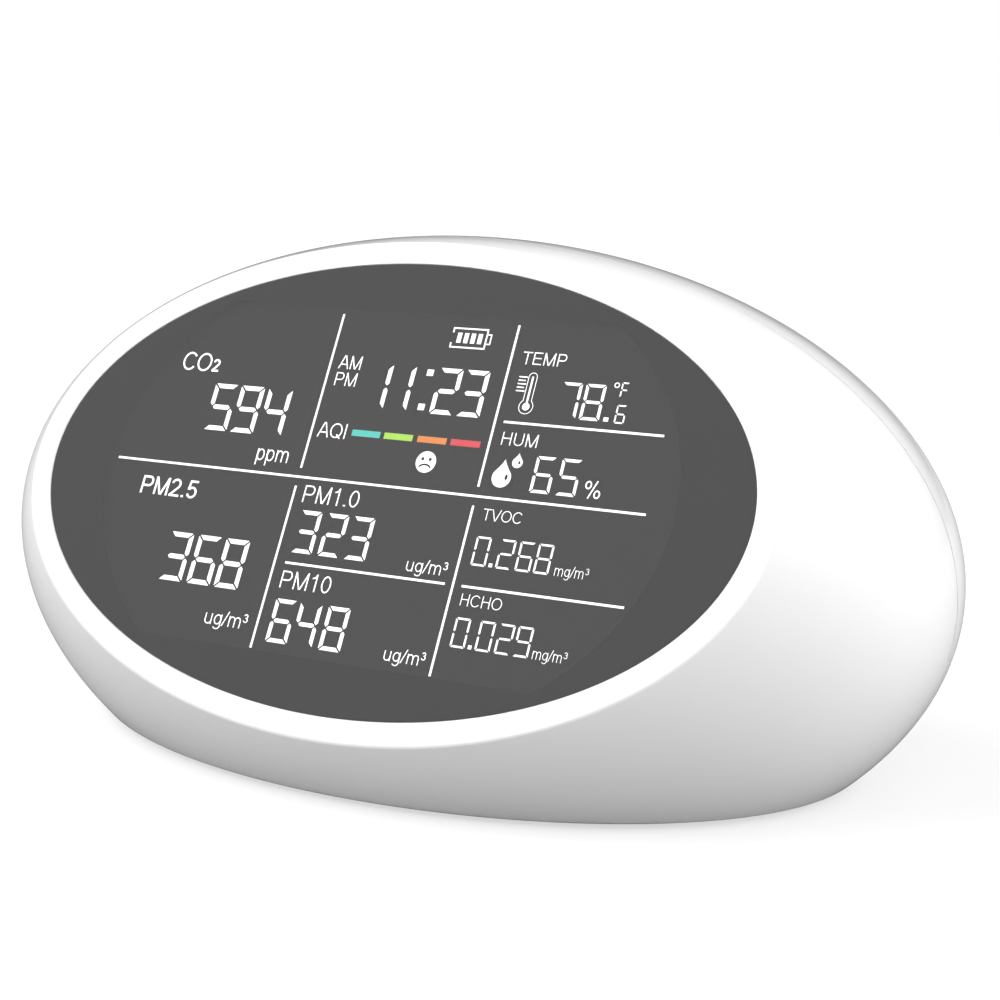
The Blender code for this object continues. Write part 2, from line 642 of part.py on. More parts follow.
def make_gas_sensors(foot):
    """Three sensors that stand on the sensor board's rear side, each with an inlet."""
    x, z = -32 * MM, 12 * MM
    depth = 9 * MM
    size = (22 * MM, depth, 20 * MM)
    co2 = box("co2_sensor", size, (x, foot + depth / 2, z), CASE, GOLD)
    cut(co2, box("co2_window", (8 * MM, 1.2 * MM, 12 * MM), (x, foot + depth, z)))
    x, z = -38 * MM, -7 * MM
    at = (x, foot + depth / 2, z)
    hcho = rod("hcho_sensor", 7 * MM, depth, at, CASE, INNER_WHITE, "Y")
    cut(hcho, rod("hcho_inlet", 4.5 * MM, 1.6 * MM, (x, foot + depth, z), along="Y"))
    cap = ((0, 7), (3.2, 7), (4.2, 6), (4.2, 0), (0, 0))
    turned("voc_sensor", mm_points(cap), (-15.6 * MM, foot, 18 * MM), CASE, STEEL, "Y", 20)


def make_climate_sensor(foot):
    """The temperature and humidity sensor, with four slots in its cap."""
    x, z = -18 * MM, -7 * MM
    depth = 5 * MM
    size = (10 * MM, depth, 13 * MM)
    climate = box("climate_sensor", size, (x, foot + depth / 2, z), CASE, INNER_WHITE)
    slot = (7 * MM, 2 * MM, 1.4 * MM)
    for row in range(4):
        at = (x, foot + depth, z + (row - 1.5) * 3 * MM)
        cut(climate, box("climate_slot", slot, at))


def make_particle_sensor():
    """The laser particle counter: a case with a lid, and the fan that draws air through it."""
    low, high, wall = COUNTER_LOW, COUNTER_HIGH, COUNTER_WALL
    size, middle = high - low, (high + low) / 2
    lid_y = high.y - wall
    depth = lid_y - GAP - low.y
    at = (middle.x, low.y + depth / 2, middle.z)
    case = box("particle_case", (size.x, depth, size.z), at, CASE, STEEL)
    inner = (size.x - 2 * wall, size.y, size.z - 2 * wall)
    cut(case, box("particle_inside", inner, (middle.x, middle.y + wall, middle.z)))
    inlet = (4 * MM, 9 * MM, 2.4 * MM)
    for row in (-1, 0, 1):
        cut(case, box("inlet", inlet, (low.x, middle.y, middle.z + row * 6 * MM)))
    lid_middle = (middle.x, lid_y + wall / 2, middle.z)
    lid = box("particle_lid", (size.x, wall, size.z), lid_middle, CASE, STEEL)
    x, z = FAN_CENTRE
    outlet = rod("fan_outlet", FAN_RADIUS - 0.5 * MM, 6 * MM, (x, lid_y, z), along="Y")
    size = (2 * FAN_RADIUS, 12 * MM, 1.2 * MM)
    for turn in range(3):
        bar = box("outlet_bar", size, (x, lid_y, z))
        bar.rotation_euler = (0, turn * math.pi / 3, 0)
        cut(outlet, bar)
    cut(lid, outlet)
    make_fan(low.y + wall, lid_y)


def make_fan(floor_y, lid_y):
    """Rotor, fixed shaft and stator, from the sensor's floor towards its lid."""
    x, z = FAN_CENTRE
    axis = new_frame("fan_axis", CASE, (x, floor_y, z), ALONG["Y"])
    depth = lid_y - floor_y
    shaft = 0.8 * MM
    stator_height, rotor_height = 7.0 * MM, 6.0 * MM
    rotor_z = stator_height + 2 * GAP
    middle = (0, 0, GAP + stator_height / 2)
    stator = rod("fan_stator", 6 * MM, stator_height, middle, axis, BLACK)
    cut(stator, rod("stator_bore", shaft + 0.3 * MM, depth, (0, 0, depth / 2), axis))
    length = depth - 2 * GAP - 1.5 * MM
    rod("fan_shaft", shaft, length, (0, 0, GAP + length / 2), axis, STEEL)
    middle = (0, 0, rotor_z + rotor_height / 2 + GAP)
    rotor = rod("fan_rotor", 4.5 * MM, rotor_height, middle, axis, BLACK)
    reach = FAN_RADIUS - 1 * MM
    size = (reach, 0.8 * MM, rotor_height - 1 * MM)
    for blade in range(FAN_BLADES):
        angle = 2 * math.pi * blade / FAN_BLADES
        at = (reach / 2 * math.cos(angle), reach / 2 * math.sin(angle), middle[2])
        vane = box("fan_vane", size, at, axis)
        vane.rotation_euler = (math.radians(35), 0, angle)
        join(rotor, vane)
    cut(rotor, rod("rotor_bore", shaft + 0.08 * MM, 3 * rotor_height, middle, axis))


# ---- battery -------------------------------------------------------------------------


def make_battery():
    """A cylindrical cell in a cradle on the floor of the front shell."""
    radius, half = BATTERY_RADIUS, BATTERY_LENGTH / 2
    at = (0, BATTERY_Y, BATTERY_Z)
    nub, edge = 2.8 * MM, 0.6 * MM
    profile = (
        (0, half + 1 * MM),
        (nub, half + 1 * MM),
        (nub, half),
        (radius - edge, half),
        (radius, half - edge),
        (radius, -half + edge),
        (radius - edge, -half),
        (0, -half),
    )
    turned("battery_cell", profile, at, CASE, WRAP, "X", 24)
    bottom, top = FLOOR_Z + GAP, BATTERY_Z - 1 * MM
    size = (BATTERY_LENGTH + 6 * MM, 2 * radius + 4 * MM, top - bottom)
    cradle = box("battery_cradle", size, (0, BATTERY_Y, (top + bottom) / 2), CASE, INNER_WHITE)
    cut(cradle, rod("cell_space", radius + GAP, BATTERY_LENGTH + 3 * MM, at, along="X", sides=24))


def make_battery_leads():
    """Two wires from the end of the cell to the socket on the main board."""
    x = BATTERY_LENGTH / 2 + 4.2 * MM
    for name, y, z, drop, finish in (
        ("battery_lead_red", -11 * MM, -14 * MM, 0, RED),
        ("battery_lead_black", -14 * MM, -13 * MM, 1.8 * MM, BLACK),
    ):
        points = (
            (x, y, z),
            (x + 3 * MM, y, z + 4 * MM),
            (x + 2 * MM, -16 * MM, -3.5 * MM - drop),
            (x - 1 * MM, -15.6 * MM, -1 * MM - drop),
        )
        wire(name, points, 0.55 * MM, CASE, finish)


# ---- keys and charging socket --------------------------------------------------------


def make_key_board():
    y = KEY_BOARD_Y + BOARD_THICK / 2
    size = (48 * MM, 20 * MM, BOARD_THICK)
    board = box("key_board", size, (0, y, -19 * MM), CASE, BOARD, corner=2 * MM, along="Y")
    for number, (x, z) in enumerate(mm_points(KEY_SCREWS), 1):
        cut(board, rod("key_board_hole", SCREW_HOLE, 4 * MM, (x, y, z), along="Y", sides=12))
        screw(f"key_screw_{number}", 4.5 * MM, (x, KEY_BOARD_Y - GAP, z), CASE, "-Y")
    path = ((37.4, -15.0), (30.0, -14.0), (10.0, -13.0), (2.0, -8.0), (-8.0, -6.5), (-16.5, -6.6))
    ribbon("key_cable", 6 * MM, 8 * MM, mm_points(path), CASE, AMBER)


def make_charging_socket():
    width, height = USB_SIZE
    y = KEY_BOARD_BACK_Y + GAP + USB_DEPTH / 2
    size = (width, height, USB_DEPTH)
    usb = box("usb_socket", size, (0, y, USB_Z), CASE, STEEL, 1.4 * MM, "Y", 3)
    hollow = (width - 0.8 * MM, height - 0.8 * MM, USB_DEPTH)
    cut(usb, box("usb_inside", hollow, (0, y + 1.5 * MM, USB_Z), CASE, None, 1.1 * MM, "Y", 3))
    tongue = (6.4 * MM, 6.4 * MM, 0.8 * MM)
    join(usb, box("usb_tongue", tongue, (0, KEY_BOARD_BACK_Y + 4.2 * MM, USB_Z)))


def make_key(name, x):
    """A key cap in the rear pocket, and the switch plunger it pushes along -Y."""
    body = 3.5 * MM
    base = KEY_BOARD_BACK_Y + GAP
    at = (x, base + body / 2, KEY_Z)
    switch = box(f"{name}_switch", (6 * MM, body, 6 * MM), at, CASE, BLACK)
    well_floor = base + 0.3 * MM
    well_middle = (x, well_floor + 5 * MM, KEY_Z)
    cut(switch, rod("plunger_well", 1.9 * MM, 10 * MM, well_middle, along="Y", sides=16))
    cap_back = POCKET_BACK_Y - 2.6 * MM
    foot = well_floor + KEY_TRAVEL + 0.2 * MM
    length = cap_back - GAP - foot
    at = (x, foot + length / 2, KEY_Z)
    rod(f"{name}_plunger", 1.7 * MM, length, at, CASE, RUBBER, "Y", 16)
    top = POCKET_FLOOR_Y + KEY_PROUD
    flange = POCKET_BACK_Y - GAP
    edge = 0.5 * MM
    profile = (
        (0, top),
        (KEY_RADIUS - edge, top),
        (KEY_RADIUS, top - edge),
        (KEY_RADIUS, flange),
        (KEY_RADIUS + 1 * MM, flange),
        (KEY_RADIUS + 1 * MM, flange - 0.8 * MM),
        (2 * MM, flange - 0.8 * MM),
        (2 * MM, cap_back),
        (0, cap_back),
    )
    turned(f"{name}_key", profile, (x, 0, KEY_Z), CASE, KEY_GREY, "Y", 20)


# ---- the whole object ----------------------------------------------------------------

make_front_shell()
make_rear_shell()
make_case_screws()
make_feet()
make_vent_mesh()
make_lens()
make_gasket()
make_display()
make_display_tray()
make_main_board()
make_sensor_board()
make_particle_sensor()
make_battery()
make_battery_leads()
make_key_board()
make_charging_socket()
for key_name, key_x in KEY_X:
    make_key(key_name, key_x)
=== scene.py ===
"""Looks of the air quality monitor: smooth shells, tinted window, lit display, rear details.

World frame: metres, +Z up, the display towards -Y, the table at Z = 0.
Three frames place the pieces, and all of them scale millimetres to metres:
  FACE  the middle of the window's outer face, +X right, +Y up along it, +Z out of it
  REAR  the case's centre, +X as the world's, +Y up, +Z towards the front (so the rear is -Z)
  CASE  the case's centre, axes as the world's
"""

import json
from math import acos, asin, atan2, cos, degrees, hypot, pi, radians, sin, sqrt

import bmesh
import bpy
from mathutils import Matrix, Vector


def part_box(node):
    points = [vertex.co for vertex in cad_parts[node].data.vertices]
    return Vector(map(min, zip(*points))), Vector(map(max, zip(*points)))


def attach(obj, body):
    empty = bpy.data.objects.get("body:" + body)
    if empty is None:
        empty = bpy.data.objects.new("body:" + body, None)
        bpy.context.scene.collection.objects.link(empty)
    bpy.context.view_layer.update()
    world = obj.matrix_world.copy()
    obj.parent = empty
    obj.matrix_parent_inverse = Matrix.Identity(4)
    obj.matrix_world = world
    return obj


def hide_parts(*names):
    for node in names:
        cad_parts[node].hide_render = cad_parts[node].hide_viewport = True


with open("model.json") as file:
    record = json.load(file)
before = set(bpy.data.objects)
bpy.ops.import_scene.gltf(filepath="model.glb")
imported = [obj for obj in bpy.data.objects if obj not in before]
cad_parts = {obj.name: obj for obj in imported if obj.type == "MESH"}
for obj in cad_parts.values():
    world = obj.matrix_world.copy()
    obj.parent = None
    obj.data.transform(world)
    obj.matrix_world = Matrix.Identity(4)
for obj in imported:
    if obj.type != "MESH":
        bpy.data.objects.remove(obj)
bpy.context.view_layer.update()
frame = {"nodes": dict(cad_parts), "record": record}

# ---- dimensions in millimetres ----

MM = 0.001
HALF_WIDTH = 90.0  # the case is a spheroid, long in X
RADIUS = 55.4
BASE_DROP = 32.2  # flat base below the spheroid's centre
TILT = radians(30)
WALL = 2.2
FACE_WALL = 3.2
SEAM = 0.13  # half the gap at the seam
SEAM_EDGE = 0.05  # rounding of each edge at the seam
RIM_EDGE = 0.4  # rounding of the crease round the display face
BASE_EDGE = 0.6  # how far above the base its rounded edge starts
LENS_GAP = 0.1
LEDGE = 2.2
LENS_THICK = 1.0
LCD_DEPTH = 1.3  # from the window's outer face to the display glass
CAD_SEAM = 0.15  # the same half gap in the CAD shells
LCD_HALF_WIDTH, LCD_OVAL_HEIGHT, LCD_FLAT = 53.9, 41.9, 30.4  # oval cut flat above and below
INK = 0.03  # thickness of the display's lit marks
SPREAD = 0.09  # a lit mark looks this much wider on each side than it is
MITRE_LIMIT = 1.5
PANE_EDGE = 0.1  # rounding of the window's edge
CLEAR_MARGIN = 0.3  # the window is clear over the display's field and this much beyond
SURROUND, SURROUND_OVERLAP = 2.0, 0.25  # dark sheet round the field: width, part inside the edge
SURROUND_LEVEL = (-LENS_THICK - 0.06, -LENS_THICK - 0.05)  # just behind the window
GASKET_ROOM = 0.6  # depth of the recess below the window

AROUND = 224  # points round the case
ROWS = 52  # rows of faces from a shell's edge to its seam
FILLET_ROWS = 5

CASE_SCREWS = ((-70, 22), (70, 22), (-62, -20), (62, -20))
SCREW_HOLE = 1.2
BOSS_RADIUS, BOSS_GAP = 3.4, 0.3  # screw bosses, and how far they stop from the seam plane
WELL_FLOOR, WELL_RADIUS, WELL_WALL = 6.0, 3.1, 1.4
TRAY_POSTS = ((-61.5, 19), (61.5, 19), (-61.5, -19), (61.5, -19))
TRAY_POST_RADIUS, TRAY_POST_END = 2.6, -6.4
REAR_POSTS = (  # places, radius and distance of the end from the seam plane
    (((-49, 20), (-49, -11)), 2.6, 15.9),  # of the sensor board
    (((-21, -26), (21, -26)), 2.4, 39.9),  # of the key board
    (((44, -7), (44, 26)), 1.5, 33.3),  # rests of the particle counter
)
PAST_FRONT, PAST_REAR, OUTSIDE, INSIDE = 40, -100, -80, -30  # levels beyond the walls, in REAR
POCKET_FLOOR, POCKET_BACK = 50.0, 47.8
KEY_PAD = (58, 17, 1)  # thick wall round the keys: width, height, corner
KEY_POCKET = (50, 12, 5.9)
KEY_X = {"power": -16.0, "set": 0.0, "adjust": 16.0}
KEY_Z = -15.0
KEY_RADIUS, KEY_GAP = 4.0, 0.25
USB_Z = -25.0
USB_MOUTH, USB_SHELL, USB_INSIDE = (10, 4.2, 2), (8.94, 3.2, 1.55), (8.2, 2.5, 1.2)
USB_TONGUE = (6.6, 0.7, 0.2)
VENT_Z = 12.5
VENT_HALF_WIDTH, VENT_HALF_HEIGHT = 42.0, 19.0
VENT_PITCH, VENT_SLOT = 4.2, 1.8
VENT_ROWS = 4  # rows above and below the middle one
FOOT_RADIUS, FOOT_RECESS, FOOT_GAP = 5.0, 1.0, 0.2
FOOT_RIM, FOOT_HOLLOW = 0.9, 0.12  # width of the rim below a foot, depth of its hollow
FEET = ("front_left", "front_right", "rear_left", "rear_right")

# ---- frames, from the CAD model ----

NORMAL = Vector((0, -cos(TILT), sin(TILT)))
lens_low, lens_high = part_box("display_lens")
seam_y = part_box("rear_shell")[0].y - CAD_SEAM * MM
CENTRE = Vector((0, seam_y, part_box("front_shell")[0].z + BASE_DROP * MM))
FACE_MIDDLE = (lens_low + lens_high) / 2 + NORMAL * (LENS_THICK / 2 * MM)
FACE_DISTANCE = (FACE_MIDDLE - CENTRE).dot(NORMAL) / MM
LENS_HALF_WIDTH = lens_high.x / MM
LENS_HALF_HEIGHT = (
    (lens_high.z - lens_low.z) / MM - LENS_THICK * sin(TILT)
) / (2 * cos(TILT))
TO_METRES = Matrix.Scale(MM, 4)
FACE = Matrix.Translation(FACE_MIDDLE) @ Matrix.Rotation(pi / 2 - TILT, 4, "X") @ TO_METRES
REAR = Matrix.Translation(CENTRE) @ Matrix.Rotation(pi / 2, 4, "X") @ TO_METRES
CASE = Matrix.Translation(CENTRE) @ TO_METRES
RIM_ANGLE = asin(FACE_DISTANCE / RADIUS)  # of the rim above the spheroid's equator

# ---- mesh helpers ----


def grid_faces(shape, rows, closed=True):
    """Faces between neighbouring rows of vertices. Each row goes round once."""
    for below, above in zip(rows, rows[1:]):
        count = len(below)
        for i in range(count if closed else count - 1):
            j = (i + 1) % count
            shape.faces.new((below[i], below[j], above[j], above[i]))


def add_rows(shape, rows):
    return [[shape.verts.new(p) for p in row] for row in rows]


def mesh_of(name, shape, smooth=32):
    """A mesh with its faces pointing out. Edges sharper than `smooth` degrees stay sharp."""
    bmesh.ops.recalc_face_normals(shape, faces=shape.faces)
    mesh = bpy.data.meshes.new(name)
    shape.to_mesh(mesh)
    shape.free()
    shade(mesh, smooth)
    return mesh


def shade(mesh, smooth):
    if smooth:
        mesh.shade_smooth()
        mesh.set_sharp_from_angle(angle=radians(smooth))


def aim(obj, at, direction):
    """Put a lamp or a camera somewhere, looking in this direction."""
    obj.location = at
    obj.rotation_mode = "QUATERNION"
    obj.rotation_quaternion = direction.to_track_quat("-Z", "Y")


def link(name, data):
    """A new object in the scene, with this mesh, lamp or camera."""
    obj = bpy.data.objects.new(name, data)
    bpy.context.scene.collection.objects.link(obj)
    return obj


def oval_points(half_width, half_height, count=AROUND):
    turn = 2 * pi / count
    return [
        (half_width * cos(i * turn), half_height * sin(i * turn)) for i in range(count)
    ]


def oval_at(x, y, half_width, half_height, count=24):
    return [(x + a, y + b) for a, b in oval_points(half_width, half_height, count)]


def circle_points(x, y, radius, count=48):
    return oval_at(x, y, radius, radius, count)


def rectangle(x, y, width, height):
    signs = ((1, 1), (-1, 1), (-1, -1), (1, -1))
    return [(x + sx * width / 2, y + sy * height / 2) for sx, sy in signs]


def rounded_box_points(x, y, width, height, corner, steps=8):
    points = []
    for quarter in range(4):
        sx, sy = ((1, 1), (-1, 1), (-1, -1), (1, -1))[quarter]
        cx, cy = x + sx * (width / 2 - corner), y + sy * (height / 2 - corner)
        for i in range(steps + 1):
            angle = (quarter + i / steps) * pi / 2
            points.append((cx + corner * cos(angle), cy + corner * sin(angle)))
    return points


def ring(shape, sections, closed=True):
    """A solid swept through four-cornered sections. It is a closed ring, or has two end faces."""
    rows = add_rows(shape, sections)
    grid_faces(shape, [*rows, rows[0]] if closed else rows)
    if not closed:
        shape.faces.new(rows[0][::-1])
        shape.faces.new(rows[-1])


def band(shape, points, width, low, high, matrix):
    """A flat band along a line of points. It closes on itself where the last is the first."""
    closed = (Vector(points[0]) - Vector(points[-1])).length < 1e-4
    line = [Vector(p) for p in (points[:-1] if closed else points)]
    sections = []
    for i, point in enumerate(line):
        before = line[i - 1] if closed or i else None
        after = line[(i + 1) % len(line)] if closed or i + 1 < len(line) else None
        into = (point - before).normalized() if before else (after - point).normalized()
        out = (after - point).normalized() if after else into
        along = (into + out).normalized()
        reach = min(1 / along.dot(out), MITRE_LIMIT) * width / 2
        side = Vector((-along.y, along.x)) * reach
        right, left = point - side, point + side
        corners = ((right, low), (left, low), (left, high), (right, high))
        sections.append([matrix @ Vector((*p, z)) for p, z in corners])
    ring(shape, sections, closed)


def arc(x, y, half_width, half_height, start, end, steps=12):
    """Points along part of an oval, between two angles in degrees."""
    angles = [radians(start + (end - start) * i / steps) for i in range(steps + 1)]
    return [(x + half_width * cos(a), y + half_height * sin(a)) for a in angles]


def loop(x, y, half_width, half_height, steps=32):
    return arc(x, y, half_width, half_height, 0, 360, steps)


def stem(x, low=0.0, high=1.0):
    return [(x, low), (x, high)]


def bar(y, left, right):
    return [(left, y), (right, y)]


def prism(shape, outline, low, high, matrix):
    """A solid with this outline between two heights, in the given frame."""
    ends = [[matrix @ Vector((x, y, z)) for x, y in outline] for z in (low, high)]
    rows = add_rows(shape, ends)
    grid_faces(shape, rows)
    shape.faces.new(rows[0][::-1])
    shape.faces.new(rows[1])


def prisms(name, solids, matrix, smooth=32):
    """A mesh of several separate prisms, each given as (outline, low, high)."""
    shape = bmesh.new()
    for outline, low, high in solids:
        prism(shape, outline, low, high, matrix)
    return mesh_of(name, shape, smooth)


def lathe(name, profile, matrix, count=64):
    """A turned object. The profile's (radius, height) points start and end on the axis."""
    shape = bmesh.new()
    middle = [
        [matrix @ Vector((x, y, height)) for x, y in oval_points(radius, radius, count)]
        for radius, height in profile[1:-1]
    ]
    rows = add_rows(shape, middle)
    grid_faces(shape, rows)
    for row, (_, height) in ((rows[0], profile[0]), (rows[-1], profile[-1])):
        tip = shape.verts.new(matrix @ Vector((0, 0, height)))
        for i, vert in enumerate(row):
            shape.faces.new((vert, row[(i + 1) % count], tip))
    return link(name, mesh_of(name, shape))


def bend(start, corner, end, steps=FILLET_ROWS):
    """Points along a smooth corner, from start to end."""
    return [
        start * (1 - t) ** 2 + corner * 2 * t * (1 - t) + end * t**2
        for t in (i / steps for i in range(steps + 1))
    ]


def rounded_profile(corners, radius, steps=4):
    """A profile with each inner corner replaced by a short curve."""
    points = [corners[0]]
    for before, corner, after in zip(corners, corners[1:], corners[2:]):
        b, c, a = Vector(before), Vector(corner), Vector(after)
        reach = min(radius, (b - c).length / 2, (a - c).length / 2)
        start, end = c + (b - c).normalized() * reach, c + (a - c).normalized() * reach
        points += [tuple(p) for p in bend(start, c, end, steps)]
    return [*points, corners[-1]]


def carve(target, mesh):
    """Cut a mesh's shape out of the target, then drop the tool."""
    tool = link("tool", mesh)
    step = target.modifiers.new("carve", "BOOLEAN")
    step.operation = "DIFFERENCE"
    step.solver = "EXACT"
    step.object = tool
    graph = bpy.context.evaluated_depsgraph_get()
    result = bpy.data.meshes.new_from_object(target.evaluated_get(graph))
    target.modifiers.clear()
    target.data = result
    bpy.data.objects.remove(tool)


def finish_piece(obj, materials, stands_for=(), body="case", smooth=32):
    """Material, shading and body of a new piece."""
    obj.data.materials.clear()
    for material in materials if isinstance(materials, (list, tuple)) else (materials,):
        obj.data.materials.append(material)
    shade(obj.data, smooth)
    even = obj.modifiers.new("even_normals", "WEIGHTED_NORMAL")
    even.keep_sharp = True
    even.weight = 80
    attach(obj, body)
    if stands_for:
        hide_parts(*stands_for)
    return obj


# ---- shells ----


def case_point(angle, turn):
    """A point of the spheroid, by angle above its equator and turn."""
    reach = cos(angle)
    x, y = HALF_WIDTH * reach * cos(turn), RADIUS * reach * sin(turn)
    return Vector((x, y, RADIUS * sin(angle)))


def face_point(angle, turn):
    """That point in the face frame."""
    return case_point(angle, turn) - Vector((0, 0, FACE_DISTANCE))


def rear_point(angle, turn):
    """That point behind the seam, in the rear frame."""
    return case_point(-angle, turn)


def meridian_step(angle, turn):
    """Length of the meridian per radian there, in millimetres."""
    step = 0.001
    return (face_point(angle + step, turn) - face_point(angle, turn)).length / step


def seam_angle(turn):
    """The angle at which the meridian meets the front shell's edge."""
    a, c = sin(turn) * sin(TILT), cos(TILT)
    return acos(-SEAM / RADIUS / hypot(a, c)) - atan2(c, a)


def front_outside():
    """The front half as a closed solid: spheroid, rounded rim, display face and seam plane."""
    columns = []
    middle_of_seam = FACE.inverted() @ (CENTRE - Vector((0, SEAM * MM, 0)))
    for i in range(AROUND):
        turn = 2 * pi * i / AROUND
        rim = face_point(RIM_ANGLE, turn)
        inward = rim * (1 - RIM_EDGE / rim.length)
        high = RIM_ANGLE - RIM_EDGE / meridian_step(RIM_ANGLE, turn)
        edge = seam_angle(turn)
        low = edge + SEAM_EDGE / meridian_step(edge, turn)
        edge_point = face_point(edge, turn)
        to_middle = middle_of_seam - edge_point
        past_edge = edge_point + to_middle.normalized() * SEAM_EDGE
        column = bend(inward, rim, face_point(high, turn))
        for row in range(1, ROWS):
            column.append(face_point(high + (low - high) * row / ROWS, turn))
        column += bend(face_point(low, turn), edge_point, past_edge, 3)
        columns.append([FACE @ p for p in column])
    return rows_to_solid(list(zip(*columns)))


def rear_outside():
    """The rear half as a closed solid, from the seam plane to the rearmost point."""
    columns = []
    for i in range(AROUND):
        turn = 2 * pi * i / AROUND
        edge = rear_point(SEAM / RADIUS, turn)
        first = (SEAM + SEAM_EDGE) / RADIUS
        column = bend(edge * (1 - SEAM_EDGE / edge.length), edge, rear_point(first, turn), 3)
        for row in range(1, ROWS):
            column.append(rear_point(first + (pi / 2 - first) * row / ROWS, turn))
        columns.append([REAR @ p for p in column])
    return rows_to_solid(list(zip(*columns)), REAR @ Vector((0, 0, -RADIUS)))


def rows_to_solid(rows, tip=None):
    """Close rows of points: the first with a flat face, the last with a flat face or a tip."""
    shape = bmesh.new()
    made = add_rows(shape, rows)
    grid_faces(shape, made)
    shape.faces.new(made[0])
    if tip is None:
        shape.faces.new(made[-1])
    else:
        top = shape.verts.new(tip)
        for i, vert in enumerate(made[-1]):
            shape.faces.new((vert, made[-1][(i + 1) % AROUND], top))
    bmesh.ops.recalc_face_normals(shape, faces=shape.faces)
    return shape


def cut_off(shape, point, kept):
    """Cut off what lies behind a plane. Its normal points to the side that is kept."""
    every = [*shape.verts, *shape.edges, *shape.faces]
    bmesh.ops.bisect_plane(
        shape, geom=every, dist=1e-7, plane_co=point, plane_no=kept, clear_inner=True
    )


def add_base(shape):
    """Cut the solid off above the base and close it with a rounded edge and a flat base."""
    base_z = CENTRE.z - BASE_DROP * MM
    cut = Vector((0, 0, base_z + BASE_EDGE * MM))
    cut_off(shape, cut, Vector((0, 0, 1)))
    rim = ordered_boundary(shape)
    rows = [rim]
    arcs = [base_arc(vert.co, base_z) for vert in rim]
    for k in range(FILLET_ROWS):
        rows.append([shape.verts.new(arc[k]) for arc in arcs])
    grid_faces(shape, rows)
    shape.faces.new(rows[-1])
    return shape


def ordered_boundary(shape):
    """The vertices of the one open rim, in order."""
    edge = next(e for e in shape.edges if e.is_boundary)
    vert = edge.verts[0]
    rim = []
    while not rim or vert is not rim[0]:
        rim.append(vert)
        vert = edge.other_vert(vert)
        edge = next(e for e in vert.link_edges if e.is_boundary and e is not edge)
    return rim


def base_arc(point, base_z):
    """An arc from the case's surface to the flat base, inside the vertical plane of its normal."""
    local = point - CENTRE
    normal = Vector((local.x / HALF_WIDTH**2, local.y / RADIUS**2, local.z / RADIUS**2))
    if abs(local.y) < 2 * SEAM_EDGE * MM:
        normal.y = 0
    normal.normalize()
    radius = (point.z - base_z) / (1 + normal.z)
    middle = point - radius * normal
    flat = Vector((normal.x, normal.y, 0)).normalized()
    start = atan2(normal.z, hypot(normal.x, normal.y))
    arc = []
    for k in range(1, FILLET_ROWS + 1):
        angle = start + (-pi / 2 - start) * k / FILLET_ROWS
        arc.append(middle + radius * (cos(angle) * flat + sin(angle) * Vector((0, 0, 1))))
    return arc


def inner_spheroid(cuts, around=128, along=64):
    """The hollow inside the wall, cut by planes. Each cut is (frame, point, normal kept)."""
    shape = bmesh.new()
    bmesh.ops.create_uvsphere(shape, u_segments=around, v_segments=along, radius=1)
    turn = Matrix.Rotation(pi / 2, 4, "Y")
    size = Matrix.Diagonal((HALF_WIDTH - WALL, RADIUS - WALL, RADIUS - WALL, 1))
    bmesh.ops.transform(shape, matrix=CASE @ size @ turn, verts=shape.verts)
    for matrix, point, direction in cuts:
        cut_off(shape, matrix @ Vector(point), matrix.to_3x3() @ Vector(direction))
        rim = [e for e in shape.edges if e.is_boundary]
        bmesh.ops.edgeloop_fill(shape, edges=rim)
    return mesh_of("hollow", shape)


FLOOR_CUT = (CASE, (0, 0, -BASE_DROP + WALL), (0, 0, 1))


def box_in_case(node):
    return [CASE.inverted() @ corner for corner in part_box(node)]


def columns_at(places, radius, low, high, count=32):
    return [(circle_points(x, y, radius, count), low, high) for x, y in places]


def foot_recesses(names):
    """Recesses for the feet, where the CAD feet are."""
    cuts = []
    for name in names:
        low, high = box_in_case(f"foot_{name}")
        outline = circle_points(*((low + high) / 2).xy, FOOT_RADIUS + FOOT_GAP, 64)
        cuts.append((outline, -BASE_DROP - 1, -BASE_DROP + FOOT_RECESS))
    return prisms("foot_recesses", cuts, CASE)


def make_front():
    face_cut = (FACE, (0, 0, -FACE_WALL), (0, 0, -1))
    seam_cut = (CASE, (0, 1, 0), (0, -1, 0))
    hollow = link("hollow", inner_spheroid((FLOOR_CUT, face_cut, seam_cut)))
    bosses = columns_at(CASE_SCREWS, BOSS_RADIUS, BOSS_GAP, PAST_FRONT)
    carve(hollow, prisms("bosses", bosses, REAR))
    posts = columns_at(TRAY_POSTS, TRAY_POST_RADIUS, TRAY_POST_END, 0)
    carve(hollow, prisms("posts", posts, FACE))
    shell = link("case_front", mesh_of("case_front", add_base(front_outside())))
    carve(shell, hollow.data.copy())
    bpy.data.objects.remove(hollow)
    width, height = LENS_HALF_WIDTH + LENS_GAP, LENS_HALF_HEIGHT + LENS_GAP
    recess = [(oval_points(width, height), -LENS_THICK - GASKET_ROOM, 1)]
    opening = [(oval_points(width - LEDGE, height - LEDGE), -2 * FACE_WALL, 1)]
    carve(shell, prisms("recess", recess, FACE))
    carve(shell, prisms("opening", opening, FACE))
    carve(shell, foot_recesses(FEET[:2]))
    finish_piece(shell, WHITE, ("front_shell",))


def vent_outlines():
    for row in range(-VENT_ROWS, VENT_ROWS + 1):
        rise = row * VENT_PITCH
        width = 2 * VENT_HALF_WIDTH * sqrt(1 - (rise / VENT_HALF_HEIGHT) ** 2)
        yield rounded_box_points(0, VENT_Z + rise, width, VENT_SLOT, VENT_SLOT / 2 - 0.01)


